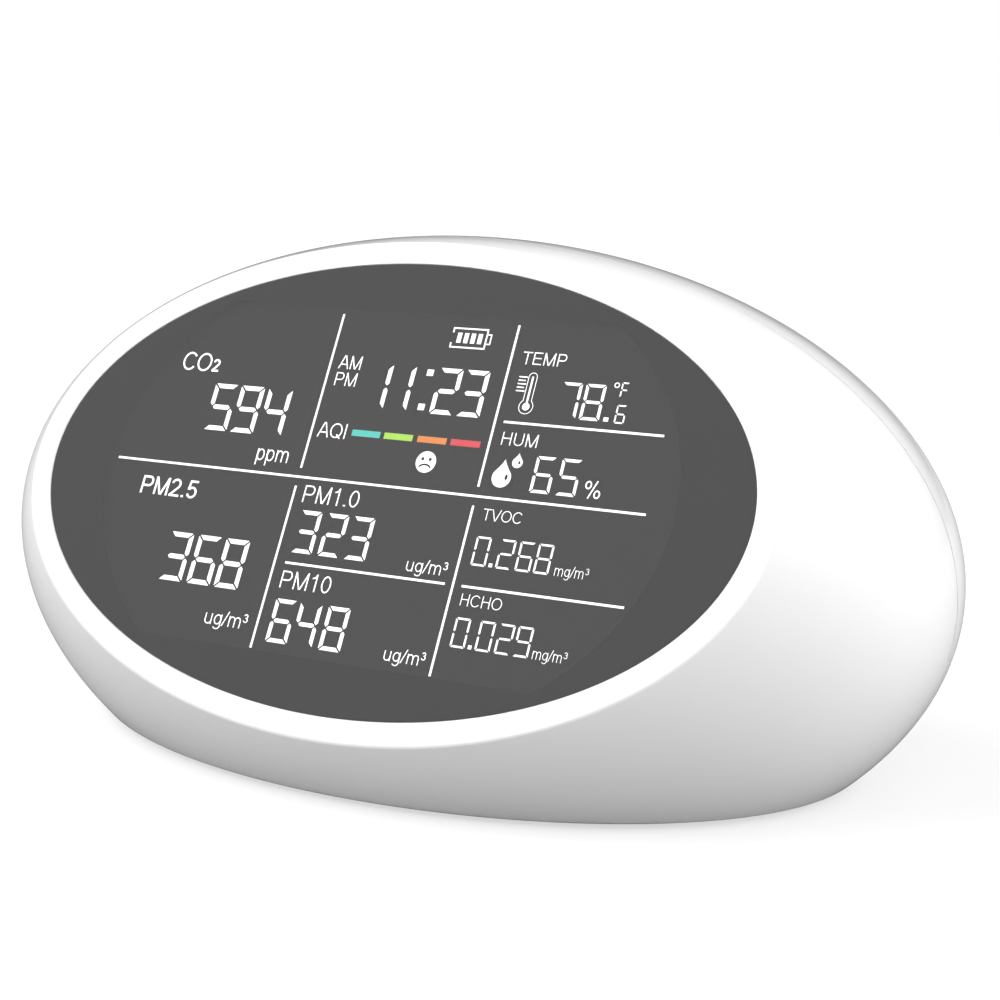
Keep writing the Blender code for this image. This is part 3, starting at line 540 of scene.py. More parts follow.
def make_rear():
    hollow = link("hollow", inner_spheroid((FLOOR_CUT, (CASE, (0, -1, 0), (0, 1, 0)))))
    pad = [(rounded_box_points(0, KEY_Z, *KEY_PAD), PAST_REAR, -POCKET_BACK)]
    carve(hollow, prisms("pad", pad, REAR))
    posts = columns_at(CASE_SCREWS, WELL_RADIUS + WELL_WALL, PAST_REAR, -BOSS_GAP)
    for places, radius, end in REAR_POSTS:
        posts += columns_at(places, radius, PAST_REAR, -end)
    carve(hollow, prisms("posts", posts, REAR))
    shell = link("case_rear", mesh_of("case_rear", add_base(rear_outside())))
    carve(shell, hollow.data.copy())
    bpy.data.objects.remove(hollow)
    pocket = rounded_box_points(0, KEY_Z, *KEY_POCKET, 12)
    openings = [rounded_box_points(0, USB_Z, *USB_MOUTH), *vent_outlines()]
    cuts = columns_at(CASE_SCREWS, WELL_RADIUS, PAST_REAR, -WELL_FLOOR, 48)
    cuts.append((pocket, OUTSIDE, -POCKET_FLOOR))
    cuts += [(outline, OUTSIDE, INSIDE) for outline in openings]
    carve(shell, prisms("cuts", cuts, REAR))
    holes = columns_at(CASE_SCREWS, SCREW_HOLE, -WELL_FLOOR - 1, 1)
    keys = [(x, KEY_Z) for x in KEY_X.values()]
    holes += columns_at(keys, KEY_RADIUS + KEY_GAP, -POCKET_FLOOR - 5, -POCKET_FLOOR + 10, 64)
    carve(shell, prisms("holes", holes, REAR))
    carve(shell, foot_recesses(FEET[2:]))
    finish_piece(shell, WHITE, ("rear_shell",))


# ---- materials ----


def set_input(tree, node, name, value):
    """Give a node's input a plain value or another node's output."""
    if isinstance(value, bpy.types.NodeSocket):
        tree.links.new(value, node.inputs[name])
    else:
        node.inputs[name].default_value = value


def add(tree, kind, inputs=None, **settings):
    """A shader node with its settings and inputs."""
    made = tree.nodes.new("ShaderNode" + kind)
    for name, value in settings.items():
        setattr(made, name, value)
    for name, value in (inputs or {}).items():
        set_input(tree, made, name, value)
    return made


def place(tree, stretch=(1, 1, 1)):
    """The point being shaded in millimetres, divided by the stretch."""
    point = add(tree, "TexCoord").outputs["Object"]
    scale = [1 / (MM * s) for s in stretch]
    return add(tree, "Mapping", {"Vector": point, "Scale": scale}).outputs["Vector"]


def noise(tree, size, where=None, detail=2.0):
    """Smooth random values with features of this many millimetres."""
    where = where or place(tree)
    return add(tree, "TexNoise", {"Vector": where, "Scale": 1 / size, "Detail": detail}).outputs[0]


def between(tree, factor, low, high, start=0.3, end=0.7):
    """A number that goes from low to high while the factor goes from start to end."""
    limits = {"Value": factor, "From Min": start, "From Max": end, "To Min": low, "To Max": high}
    return add(tree, "MapRange", limits).outputs["Result"]


def mixed(tree, factor, first, second):
    """A colour between two, each a colour or another node's output."""
    pair = [c if isinstance(c, bpy.types.NodeSocket) else (*c, 1) for c in (first, second)]
    return add(tree, "MixRGB", {"Fac": factor, "Color1": pair[0], "Color2": pair[1]}).outputs[0]


def times(colour, amount):
    """A colour made darker or lighter."""
    return tuple(min(1, c * amount) for c in colour)


def surface(name, colour, roughness, metallic=0.0, height=None, depth=0.0, edge=0.0, **others):
    """A material from one Principled shader. The colour and height are made by functions."""
    made = bpy.data.materials.new(name)
    made.use_nodes = True
    tree = made.node_tree
    shader = tree.nodes["Principled BSDF"]
    values = {"Base Color": colour, "Roughness": roughness, "Metallic": metallic, **others}
    for key, value in values.items():
        set_input(tree, shader, key, value(tree) if callable(value) else value)
    bump = {"Distance": depth * MM}
    if edge:
        bump["Normal"] = add(tree, "Bevel", {"Radius": edge * MM}).outputs["Normal"]
    if height:
        bump["Height"] = height(tree)
        set_input(tree, shader, "Normal", add(tree, "Bump", bump).outputs["Normal"])
    return made


def moulded(name, colour, roughness, grain=0.25, depth=0.004, edge=0.2, uneven=0.05, **others):
    """Moulded plastic or rubber: fine grain, slightly uneven polish and tone."""
    dark, light = times(colour, 1 - uneven / 2), times(colour, 1 + uneven / 2)
    return surface(
        name,
        lambda t: mixed(t, noise(t, 9), dark, light),
        lambda t: between(t, noise(t, 4), roughness - 0.03, roughness + 0.04),
        height=lambda t: noise(t, grain),
        depth=depth,
        edge=edge,
        **others,
    )


def brushed(name, colour, roughness, stretch=(0.08, 1.5, 1.5), edge=0.1):
    """Sheet metal or plating: long fine scratches and cloudy polish."""
    return surface(
        name,
        lambda t: mixed(t, noise(t, 3), times(colour, 0.86), times(colour, 1.1)),
        lambda t: between(t, noise(t, 1, place(t, stretch)), roughness - 0.1, roughness + 0.12),
        metallic=1.0,
        height=lambda t: noise(t, 1, place(t, stretch)),
        depth=0.003,
        edge=edge,
    )


def board_colour(tree):
    """Solder mask with lighter tracks on a grid and gilt pads here and there."""
    cells = {"Vector": place(tree), "Scale": 0.55, "Randomness": 0.85}
    tracks = add(tree, "TexVoronoi", cells, feature="DISTANCE_TO_EDGE", distance="EUCLIDEAN")
    dots = add(tree, "TexVoronoi", {"Vector": place(tree), "Scale": 0.3}, feature="F1")
    mask = mixed(tree, noise(tree, 5), (0.012, 0.10, 0.045), (0.02, 0.14, 0.06))
    track = between(tree, tracks.outputs["Distance"], 1, 0, 0.03, 0.06)
    pad = between(tree, dots.outputs["Distance"], 1, 0, 0.16, 0.19)
    return mixed(tree, pad, mixed(tree, track, mask, (0.05, 0.26, 0.12)), (0.75, 0.55, 0.2))


def stripes(tree, pitch, direction="X"):
    """A wave across the surface, with two crests for each pitch in millimetres."""
    wave = {"Vector": place(tree), "Scale": pi / 5 / pitch}
    made = add(tree, "TexWave", wave, wave_type="BANDS", bands_direction=direction)
    return made.outputs["Fac"]


def weave(tree, pitch=0.55):
    """Crossed threads, as a height."""
    pair = [stripes(tree, pitch, direction) for direction in ("X", "Z")]
    return add(tree, "Math", {0: pair[0], 1: pair[1]}, operation="MULTIPLY").outputs[0]


def ribbon_colour(tree):
    lines = between(tree, stripes(tree, 1.0), 0, 1, 0.45, 0.6)
    return mixed(tree, lines, (0.36, 0.13, 0.02), (0.62, 0.3, 0.07))


def wrap_colour(tree):
    """Shrink wrap round the cell: blue with a lighter band near one end."""
    along = add(tree, "SeparateXYZ", {0: place(tree)}).outputs["X"]
    stripe = add(tree, "Math", {0: along, 1: -22.0, 2: 2.5}, operation="COMPARE").outputs[0]
    blue = mixed(tree, noise(tree, 6), (0.03, 0.15, 0.42), (0.05, 0.2, 0.52))
    return mixed(tree, stripe, blue, (0.7, 0.72, 0.74))


def speckled(name, low, high, size, roughness, depth, metallic=0.0):
    """Foam, mesh backing and other surfaces made of small cells."""

    def cells(tree):
        values = {"Vector": place(tree), "Scale": 1 / size}
        return add(tree, "TexVoronoi", values, feature="F1").outputs["Distance"]

    return surface(
        name, lambda t: mixed(t, cells(t), low, high), roughness, metallic, cells, depth
    )


def glowing(name, colour, strength):
    """A lit part of the display. Its light is a little stronger in the middle of each cell."""

    def light(tree):
        return between(tree, noise(tree, 0.6), 0.97 * strength, 1.03 * strength)

    return surface(
        name,
        lambda t: mixed(t, noise(t, 2), times(colour, 0.95), colour),
        0.5,
        **{"Emission Color": (*colour, 1), "Emission Strength": light},
    )


GLOSS = {"Coat Weight": 1.0, "Coat Roughness": 0.1}  # polish of the white shells
ACRYLIC = {"grain": 0.15, "depth": 0.0002, "edge": 0, "uneven": 0.02, "Specular IOR Level": 0.15}
DARK, DARK_POLISH = (0.065, 0.065, 0.065), 0.42  # tone and roughness of the window
WHITE = moulded("white_plastic", (0.88, 0.88, 0.88), 0.36, uneven=0.012, **GLOSS)
KEY_GREY = moulded("key_plastic", (0.5, 0.51, 0.52), 0.42, grain=0.18, depth=0.006)
RUBBER = moulded("rubber", (0.05, 0.05, 0.052), 0.72, grain=0.3, depth=0.02, uneven=0.3)
BLACK = moulded("black_plastic", (0.022, 0.022, 0.024), 0.42, grain=0.2, depth=0.01, uneven=0.3)
STEEL = brushed("steel", (0.55, 0.55, 0.56), 0.34, (0.5, 0.5, 0.5))
WINDOW = moulded("smoked_acrylic", DARK, DARK_POLISH, Alpha=0.3, **ACRYLIC)
PRINTED = moulded("printed_acrylic", DARK, DARK_POLISH, **ACRYLIC)
GLASS = {"grain": 0.4, "depth": 0.0005, "edge": 0, "uneven": 0.02, "Specular IOR Level": 0.25}
LCD = moulded("display_glass", (0.081, 0.081, 0.082), 0.5, **GLASS)
LIT = glowing("display_light", (1.0, 1.0, 1.0), 2.2)
BAR_COLOURS = (
    ("teal", (0.114, 0.672, 0.578)),
    ("green", (0.468, 0.839, 0.102)),
    ("orange", (0.888, 0.305, 0.080)),
    ("red", (0.815, 0.091, 0.107)),
)
SLOT_MATERIALS = {
    "white_plastic": WHITE,
    "key_plastic": KEY_GREY,
    "rubber": RUBBER,
    "inner_plastic": moulded("inner_plastic", (0.7, 0.7, 0.68), 0.5, grain=0.35, depth=0.01),
    "black_plastic": BLACK,
    "steel": STEEL,
    "sheet_metal": brushed("sheet_metal", (0.6, 0.6, 0.61), 0.38),
    "smoked_acrylic": WINDOW,
    "display_glass": LCD,
    "gilt_metal": brushed("gilt_metal", (0.85, 0.62, 0.25), 0.3),
    "diffuser": moulded("diffuser", (0.86, 0.88, 0.9), 0.25, grain=0.5, edge=0, uneven=0.02),
    "foam": speckled("foam", (0.01, 0.01, 0.01), (0.06, 0.06, 0.062), 0.35, 0.95, 0.08),
    "circuit_board": surface(
        "circuit_board", board_colour, 0.32, height=lambda t: noise(t, 0.8), depth=0.01, edge=0.1
    ),
    "battery_wrap": surface(
        "battery_wrap", wrap_colour, 0.28, height=lambda t: noise(t, 2.5), depth=0.03, edge=0.3
    ),
    "ribbon": surface(
        "ribbon", ribbon_colour, 0.3, height=lambda t: stripes(t, 1.0), depth=0.02, edge=0.05
    ),
    "red_wire": moulded("red_wire", (0.55, 0.03, 0.03), 0.4, edge=0, uneven=0.1),
    "black_wire": moulded("black_wire", (0.02, 0.02, 0.022), 0.4, edge=0, uneven=0.3),
    "dust_mesh": surface(
        "dust_mesh",
        lambda t: mixed(t, weave(t), (0.004, 0.004, 0.004), (0.09, 0.09, 0.092)),
        0.7,
        height=weave,
        depth=0.15,
    ),
}

# ---- display ----

LCD_FRONT = -LCD_DEPTH
LIT_LEVEL = (LCD_FRONT, LCD_FRONT + INK)
MARK_LEVEL = (LCD_FRONT + INK, LCD_FRONT + 1.5 * INK)
RULE = 0.56  # thickness of the display's dividing lines
SEGMENT_GAP = 0.17  # between segments, as a share of their thickness

# Segments of a digit: a top, b and c right, d bottom, e and f left, g middle.
SEGMENTS = "abcdef bc abdeg abcdg bcfg acdfg acdefg abc abcdefg abcdfg aefg"
DIGITS = dict(zip("0123456789F", SEGMENTS.split()))

# Readings: digits, left side of each digit, foot, width and height of a digit, thickness.
READINGS = (
    ("594", (-37.65, -32.1, -26.3), 6.7, 5.05, 8.8, 1.0),
    ("368", (-37.8, -31.85, -26.15), -20.9, 5.0, 8.8, 1.0),
    ("1123", (-7.3, -2.8, 6.15, 11.2), 13.25, 4.6, 8.35, 0.95),
    ("323", (-12.95, -7.65, -2.6), -13.2, 4.3, 7.6, 0.86),
    ("648", (-13.05, -8.15, -2.7), -28.75, 4.35, 7.6, 0.86),
    ("78", (29.2, 33.4), 14.45, 3.7, 6.35, 0.68),
    ("65", (27.9, 32.45), 1.55, 3.7, 6.35, 0.68),
    ("0268", (20.85, 25.3, 28.75, 32.0), -11.5, 2.85, 5.05, 0.5),
    ("0029", (20.85, 25.3, 28.75, 32.0), -25.05, 2.85, 5.05, 0.5),
    ("6", (39.55,), 14.35, 1.9, 3.3, 0.42),
    ("F", (39.5,), 18.7, 1.5, 2.8, 0.4),
)
# Points and colons: middle, width and height.
POINTS = (
    (4.5, 20.5, 1.4, 1.3),
    (4.5, 14.35, 1.4, 1.3),
    (38.2, 14.95, 1.0, 0.85),
    (24.5, -11.05, 0.8, 0.8),
    (24.5, -24.6, 0.8, 0.8),
)
# Dividing lines: two ends of each.
RULES = (
    ((-53.7, 0.03), (48.7, 0.03)),
    ((-15.4, 1.65), (-15.4, 30.0)),
    ((18.8, 1.65), (18.8, 30.0)),
    ((-15.4, -1.6), (-15.4, -30.1)),
    ((18.8, -1.6), (18.8, -30.1)),
    ((20.4, 13.05), (48.7, 13.05)),
    ((20.4, -15.0), (48.7, -15.0)),
    ((-13.3, -15.0), (17.3, -15.0)),
)
BARS_LEFT = (-7.35, -1.05, 5.4, 11.7)
BAR_WIDTH, BAR_HEIGHT, BAR_Y = 5.5, 1.1, 8.75

# Letters as lines on a field one unit high, from the foot's outer edge to the top's.
# FOOT and TOP are the middles of the outermost strokes, SMALL is a small letter's height.
FOOT, TOP, SMALL = 0.055, 0.945, 0.73
REGULAR = 0.078  # thickness of a stroke, as a share of a capital's height
DIGIT_ADVANCE = 0.775  # from a letter's start to the next one's, where ADVANCES has no other
ADVANCES = {"C": 1.0, "H": 1.0, "I": 0.39, "M": 1.16, "O": 1.08, "Q": 1.08, "T": 0.85, "U": 1.0}
ADVANCES |= {".": 0.387, "/": 0.387, "%": 1.24, "m": 1.16, **dict.fromkeys("AEPV", 0.93)}
GLYPHS = {
    "A": [[(0.06, 0), (0.43, 1)], [(0.87, 0), (0.5, 1)], bar(0.33, 0.2, 0.73)],
    "C": [arc(0.53, 0.5, 0.42, 0.455, 38, 322, 24)],
    "E": [bar(FOOT, 0.86, 0.165) + bar(TOP, 0.165, 0.84), bar(0.52, 0.165, 0.8)],
    "H": [stem(0.165), stem(0.845), bar(0.53, 0.165, 0.845)],
    "I": [stem(0.195)],
    "M": [stem(0.16), stem(1.0), [(0.17, 0.97), (0.56, 0.02)], [(0.99, 0.97), (0.6, 0.02)]],
    "O": [loop(0.54, 0.5, 0.435, 0.455)],
    "P": [
        [(0.165, 0), *bar(TOP, 0.165, 0.56), *arc(0.58, 0.7, 0.23, 0.245, 90, -90), (0.165, 0.455)]
    ],
    "Q": [loop(0.54, 0.5, 0.435, 0.455), [(0.62, 0.26), (0.93, 0.0)]],
    "T": [bar(TOP, 0.03, 0.82), stem(0.425, 0, TOP)],
    "U": [[(0.165, 1), *arc(0.505, 0.36, 0.34, 0.305, 180, 360), (0.845, 1)]],
    "V": [[(0.06, 1), (0.445, 0)], [(0.87, 1), (0.485, 0)]],
    "0": [loop(0.385, 0.5, 0.28, 0.445)],
    "1": [stem(0.44), [(0.16, 0.75), (0.33, 0.8), (0.43, 0.96)]],
    "2": [[*arc(0.385, 0.7, 0.27, 0.245, 170, -35, 16), (0.09, 0.06)], bar(FOOT, 0.05, 0.72)],
    "3": [arc(0.375, 0.725, 0.235, 0.22, 165, -80), arc(0.38, 0.285, 0.28, 0.235, 95, -165)],
    "5": [[(0.69, TOP), (0.2, TOP), (0.13, 0.47)], arc(0.385, 0.325, 0.28, 0.275, 140, -160)],
    ".": [bar(0.065, 0.115, 0.265)],
    "/": [[(0.0, -0.02), (0.385, 1.0)]],
    "%": [loop(x, y, 0.17, 0.2) for x, y in ((0.29, 0.73), (0.95, 0.24))],
    "p": [stem(0.145, -0.29, SMALL), loop(0.405, 0.36, 0.255, 0.325)],
    "m": [stem(0.145, 0, SMALL)],
    "u": [stem(0.63, SMALL, 0), [(0.145, SMALL), *arc(0.3875, 0.27, 0.2425, 0.225, 180, 360)]],
    "g": [
        loop(0.37, 0.38, 0.25, 0.305),
        [(0.63, SMALL), *arc(0.375, -0.03, 0.255, 0.215, 0, -150)],
    ],
}
GLYPHS["%"].append([(0.4, -0.02), (0.84, 0.99)])
for hump in (0.3625, 0.7975):
    GLYPHS["m"].append([*arc(hump, 0.46, 0.2175, 0.225, 180, 0), (hump + 0.2175, 0)])

# Labels: text, left and right ends, foot, height of a capital, thickness unless regular.
LABELS = (
    ("CO", -46.05, -39.75, 17.5, 3.4, 0.095),
    ("2", -39.65, -37.8, 17.55, 2.4, 0.15),
    ("ppm", -25.0, -18.45, 2.25, 2.8),
    ("AM", -13.7, -9.2, 20.05, 2.35),
    ("PM", -13.6, -9.3, 16.95, 2.35),
    ("AQI", -14.15, -8.5, 7.5, 2.6),
    ("TEMP", 20.75, 28.95, 23.3, 2.15),
    ("HUM", 20.85, 27.4, 9.15, 2.15),
    ("%", 37.4, 40.4, 1.75, 2.85),
    ("PM2.5", -47.0, -34.85, -6.0, 3.25, 0.115),
    ("PM1.0", -13.45, -2.4, -4.25, 2.95),
    ("PM10", -13.2, -3.3, -19.3, 2.9),
    ("TVOC", 20.8, 27.95, -3.75, 1.87, 0.065),
    ("HCHO", 20.85, 28.3, -18.1, 1.87, 0.065),
)
# Units with a raised 3: letters, left end, foot, whole width, thickness.
UNITS = (
    ("ug/m", -25.95, -27.2, 8.65, 0.07),
    ("ug/m", 9.55, -13.7, 7.65, 0.07),
    ("ug/m", 9.75, -28.7, 7.65, 0.07),
    ("mg/m", 35.75, -11.35, 5.95, 0.05),
    ("mg/m", 35.45, -24.9, 6.0, 0.05),
)
CAPITAL = 0.285  # height of a unit's capitals, as a share of its width
LETTERS_END, RAISED_START = 0.85, 0.88  # shares of its width, before and after the gap
RAISED_FOOT, RAISED_HEIGHT, RAISED_THICK = 0.42, 0.6, 1.5  # of the 3, against the letters

# Symbols: outlines, and (x, y) places with widths, heights or radii.
BATTERY = ((6.85, 28.0), (6.85, 28.8), (13.3, 28.8), (13.3, 25.4), (6.85, 25.4), (6.85, 26.2))
BATTERY_END = ((13.4, 27.95), (14.15, 27.95), (14.15, 26.25), (13.4, 26.25))
CELLS, CELL_PITCH = (8.2, 27.1, 0.78, 1.8), 1.31
TUBE_X, TUBE_TOP, TUBE_RADIUS = 23.65, 21.1, 0.75
BULB_Y, BULB_RADIUS = 15.95, 1.25
TICK_LEFT, TICK_RIGHT, TICK_Y, TICK_PITCH = 21.15, (22.7, 22.45), 18.6, 0.61
DEGREE = (38.75, 20.85, 0.38, 0.38)
DROPS = ((22.5, 3.6, 1.7, 3.1), (24.7, 6.35, 0.92, 1.6))  # middle, radius, tip above it
MOOD_X, MOOD_Y, MOOD_RADIUS = 8.1, 4.9, 1.86


def segment_outlines(width, height, thickness):
    """Outlines of the seven segments on a cell whose lower left corner is the origin."""
    half, gap, middle = thickness / 2, thickness * SEGMENT_GAP + SPREAD, height / 2
    top = [
        (gap, height),
        (width - gap, height),
        (width - thickness - gap, height - thickness),
        (thickness + gap, height - thickness),
    ]
    left = [
        (0, height - gap),
        (thickness, height - thickness - gap),
        (thickness, middle + half + gap),
        (half, middle + gap),
        (0, middle + half + gap),
    ]
    bar = [(half + gap, middle), (thickness + gap, middle + half), (thickness + gap, middle - half)]
    bar = [bar[0], bar[1], *[(width - x, y) for x, y in (bar[1], bar[0], bar[2])], bar[2]]
    shapes = {"a": top, "f": left, "g": bar}
    shapes["b"] = [(width - x, y) for x, y in left]
    shapes["d"] = [(x, height - y) for x, y in top]
    shapes["e"] = [(x, height - y) for x, y in left]
    shapes["c"] = [(width - x, y) for x, y in shapes["e"]]
    return shapes


def make_digits():
    shape = bmesh.new()
    for text, lefts, foot, width, height, thickness in READINGS:
        outlines = segment_outlines(width - 2 * SPREAD, height - 2 * SPREAD, thickness - 2 * SPREAD)
        for digit, left in zip(text, lefts):
            for name in DIGITS[digit]:
                moved = [(left + SPREAD + x, foot + SPREAD + y) for x, y in outlines[name]]
                prism(shape, moved, *LIT_LEVEL, FACE)
    for x, y, width, height in POINTS:
        outline = rectangle(x, y, width - 2 * SPREAD, height - 2 * SPREAD)
        prism(shape, outline, *LIT_LEVEL, FACE)
    display_piece("lit_digits", shape, LIT)


def display_piece(name, shape, material):
    piece = link(name, mesh_of(name, shape, 0))
    return finish_piece(piece, material, smooth=0)


def label(shape, text, left, right, foot, capital, thickness=REGULAR):
    """Draw a word between two ends, its capitals standing on the foot line."""
    width = thickness * capital
    strokes, pen = [], 0
    for letter in text:
        strokes += [[(pen + x, y) for x, y in line] for line in GLYPHS[letter]]
        pen += ADVANCES.get(letter, DIGIT_ADVANCE)
    ends = [x for line in strokes for x, _ in line]
    first = min(ends)
    left += SPREAD / 2
    scale = (right - SPREAD - left - width) / (max(ends) - first)
    rise = (capital - width) / (TOP - FOOT)
    for line in strokes:
        points = [
            (left + width / 2 + (x - first) * scale, foot + width / 2 + (y - FOOT) * rise)
            for x, y in line
        ]
        band(shape, points, width, *LIT_LEVEL, FACE)


def make_labels():
    shape = bmesh.new()
    for text in LABELS:
        label(shape, *text)
    for letters, left, foot, width, thickness in UNITS:
        capital = CAPITAL * width
        label(shape, letters, left, left + LETTERS_END * width, foot, capital, thickness)
        ends = (left + RAISED_START * width, left + width)
        raised = (foot + RAISED_FOOT * capital, RAISED_HEIGHT * capital)
        label(shape, "3", *ends, *raised, RAISED_THICK * thickness)
    display_piece("lit_labels", shape, LIT)


def make_rules():
    shape = bmesh.new()
    for ends in RULES:
        band(shape, ends, RULE - 2 * SPREAD, *LIT_LEVEL, FACE)
    display_piece("lit_rules", shape, LIT)


def make_bars():
    for (name, colour), left in zip(BAR_COLOURS, BARS_LEFT):
        shape = bmesh.new()
        outline = rectangle(left + BAR_WIDTH / 2, BAR_Y, BAR_WIDTH, BAR_HEIGHT)
        prism(shape, outline, *LIT_LEVEL, FACE)
        display_piece(f"quality_bar_{name}", shape, glowing(f"{name}_light", colour, 0.82))


def drop_points(x, y, radius, tip):
    """A drop: a round foot, and sides that curve in to a tip this high above its middle."""
    points = arc(x, y, radius, radius, 150, 390, 32)
    side = Vector((points[-1][0] - x, points[-1][1] - y))
    steps = [i / 8 for i in range(1, 8)]
    rise = [(side.x * (1 - t) ** 1.25, y + side.y + (tip - side.y) * t) for t in steps]
    points += [(x + wide, height) for wide, height in rise]
    points.append((x, y + tip))
    points += [(x - wide, height) for wide, height in reversed(rise)]
    return points


def battery_symbol(shape):
    band(shape, BATTERY, 0.26, *LIT_LEVEL, FACE)
    band(shape, BATTERY_END, 0.2, *LIT_LEVEL, FACE)
    x, y, width, height = CELLS
    for i in range(4):
        prism(shape, rectangle(x + CELL_PITCH * i, y, width, height), *LIT_LEVEL, FACE)


def thermometer_symbol(shape):
    corner = degrees(acos(TUBE_RADIUS / BULB_RADIUS))
    outline = arc(TUBE_X, BULB_Y, BULB_RADIUS, BULB_RADIUS, 180 - corner, 360 + corner, 32)
    outline += arc(TUBE_X, TUBE_TOP, TUBE_RADIUS, TUBE_RADIUS, 0, 180)
    band(shape, [*outline, outline[0]], 0.1, *LIT_LEVEL, FACE)
    band(shape, [(TUBE_X, BULB_Y + 0.35), (TUBE_X, TUBE_TOP + 0.1)], 0.32, *LIT_LEVEL, FACE)
    prism(shape, circle_points(TUBE_X, BULB_Y, 0.65), *LIT_LEVEL, FACE)
    for i in range(5):
        y = TICK_Y + TICK_PITCH * i
        band(shape, [(TICK_LEFT, y), (TICK_RIGHT[i % 2], y)], 0.2, *LIT_LEVEL, FACE)


def make_symbols():
    """Battery, thermometer, degree ring, two drops and a plain round face."""
    shape = bmesh.new()
    battery_symbol(shape)
    thermometer_symbol(shape)
    band(shape, loop(*DEGREE), 0.17, *LIT_LEVEL, FACE)
    for drop in DROPS:
        prism(shape, drop_points(*drop), *LIT_LEVEL, FACE)
    prism(shape, circle_points(MOOD_X, MOOD_Y, MOOD_RADIUS), *LIT_LEVEL, FACE)
    display_piece("lit_symbols", shape, LIT)
    marks = bmesh.new()
    for side in (-1, 1):
        prism(marks, oval_at(MOOD_X + 0.7 * side, MOOD_Y + 0.5, 0.3, 0.3), *MARK_LEVEL, FACE)
    mouth = arc(MOOD_X, MOOD_Y - 1.3, 1.15, 0.85, 22, 158)
    band(marks, mouth, 0.34, *MARK_LEVEL, FACE)
    for glint in ((23.35, 3.7, 0.28, 0.5), (25.05, 6.35, 0.2, 0.3)):
        prism(marks, oval_at(*glint), *MARK_LEVEL, FACE)
    display_piece("symbol_marks", marks, LCD)


def field_outline(more=0.0):
    """The display's field: an oval cut flat above and below, grown on all sides."""
    oval = oval_points(LCD_HALF_WIDTH + more, LCD_OVAL_HEIGHT + more)
    flat = LCD_FLAT + more
    return [(x, max(-flat, min(flat, y))) for x, y in oval]


def window_outline(inset):
    """The window's oval, with each point in line with the field outline's from the middle."""
    points = []
    for x, y in field_outline(CLEAR_MARGIN):
        reach = 1 / hypot(x / (LENS_HALF_WIDTH - inset), y / (LENS_HALF_HEIGHT - inset))
        points.append((x * reach, y * reach))
    return points


def make_window():
    """The tinted window, clear over the display and printed opaque round it."""
    edge = [(0, -LENS_THICK + PANE_EDGE), (0, -PANE_EDGE)]
    for angle in (pi / 6, pi / 3, pi / 2):
        inset, drop = 1 - cos(angle), 1 - sin(angle)
        edge.append((PANE_EDGE * inset, -PANE_EDGE * drop))
    outlines = [(field_outline(CLEAR_MARGIN), -LENS_THICK)]
    for inset, height in [(PANE_EDGE, -LENS_THICK), *edge]:
        outlines.append((window_outline(inset), height))
    outlines.append((field_outline(CLEAR_MARGIN), 0))
    rows = [[FACE @ Vector((*p, height)) for p in outline] for outline, height in outlines]
    shape = bmesh.new()
    made = add_rows(shape, rows)
    grid_faces(shape, made)
    for face in shape.faces:
        face.material_index = 1
    for vert in made[0]:
        for face in vert.link_faces:
            face.material_index = 0
    shape.faces.new(made[0][::-1])
    shape.faces.new(made[-1])
    pane = link("window_pane", mesh_of("window_pane", shape))
    printed = [face.material_index for face in pane.data.polygons]
    finish_piece(pane, (WINDOW, PRINTED), ("display_lens",))
    pane.data.polygons.foreach_set("material_index", printed)
    pane.visible_shadow = pane.visible_diffuse = False  # its print would shade the display's edge


def make_surround():
    """A thin dark sheet round the display's field, seen through the window's clear margin."""
    shape = bmesh.new()
    low, high = SURROUND_LEVEL
    sections = []
    for x, y in field_outline(-SURROUND_OVERLAP):
        reach = 1 + SURROUND / hypot(x, y)
        outer = (x * reach, y * reach)
        corners = ((x, y, low), (x, y, high), (*outer, high), (*outer, low))
        sections.append([FACE @ Vector(p) for p in corners])
    ring(shape, sections)
    sheet = display_piece("display_surround", shape, LCD)
    sheet.visible_shadow = sheet.visible_diffuse = False


# ---- rear and underside ----

KEY_TOP, KEY_FLANGE, KEY_BACK = 51.2, 47.5, 45.2  # from the seam plane, in millimetres
FLANGE_THICK = 0.8
DISH = 0.35  # depth of the hollow in a key's top
KEY_SHOULDER, PLUNGER_RADIUS = 0.45, 2
SIGN_LOW, SIGN_HIGH = 0.14, 0.2  # below and above the hollow's deepest point
SIGN_STROKE = 0.3
HEAD_HEIGHT, HEAD_RADIUS, SHANK_RADIUS = 1.4, 2.2, 1.0
CROSS = ((2.3, 0.55), (0.55, 2.3))  # the two arms of a screw's recess
CROSS_DEPTH = 0.9


def make_keys():
    """Key caps with a dished top, and a plain raised sign on each."""
    corners = [(0, KEY_TOP - DISH), (KEY_RADIUS * 0.5, KEY_TOP - 0.75 * DISH)]
    corners += [(KEY_RADIUS - KEY_SHOULDER, KEY_TOP), (KEY_RADIUS, KEY_TOP - KEY_SHOULDER)]
    corners += [(KEY_RADIUS, KEY_FLANGE), (KEY_RADIUS + 1, KEY_FLANGE)]
    flange_back = KEY_FLANGE - FLANGE_THICK
    corners += [(KEY_RADIUS + 1, flange_back), (PLUNGER_RADIUS, flange_back)]
    corners += [(PLUNGER_RADIUS, KEY_BACK), (0, KEY_BACK)]
    profile = rounded_profile([(radius, -height) for radius, height in corners], 0.3)
    for name, x in KEY_X.items():
        at = REAR @ Matrix.Translation((x, KEY_Z, 0))
        cap = lathe(f"{name}_key_cap", profile, at)
        finish_piece(cap, KEY_GREY, (f"{name}_key",), f"{name}_key")
        shape = bmesh.new()
        hollow = -KEY_TOP + DISH
        key_sign(shape, name, at, (hollow - SIGN_LOW, hollow + SIGN_HIGH))
        sign = link(f"{name}_key_sign", mesh_of("key_sign", shape, 0))
        finish_piece(sign, WHITE, (), f"{name}_key", 0)


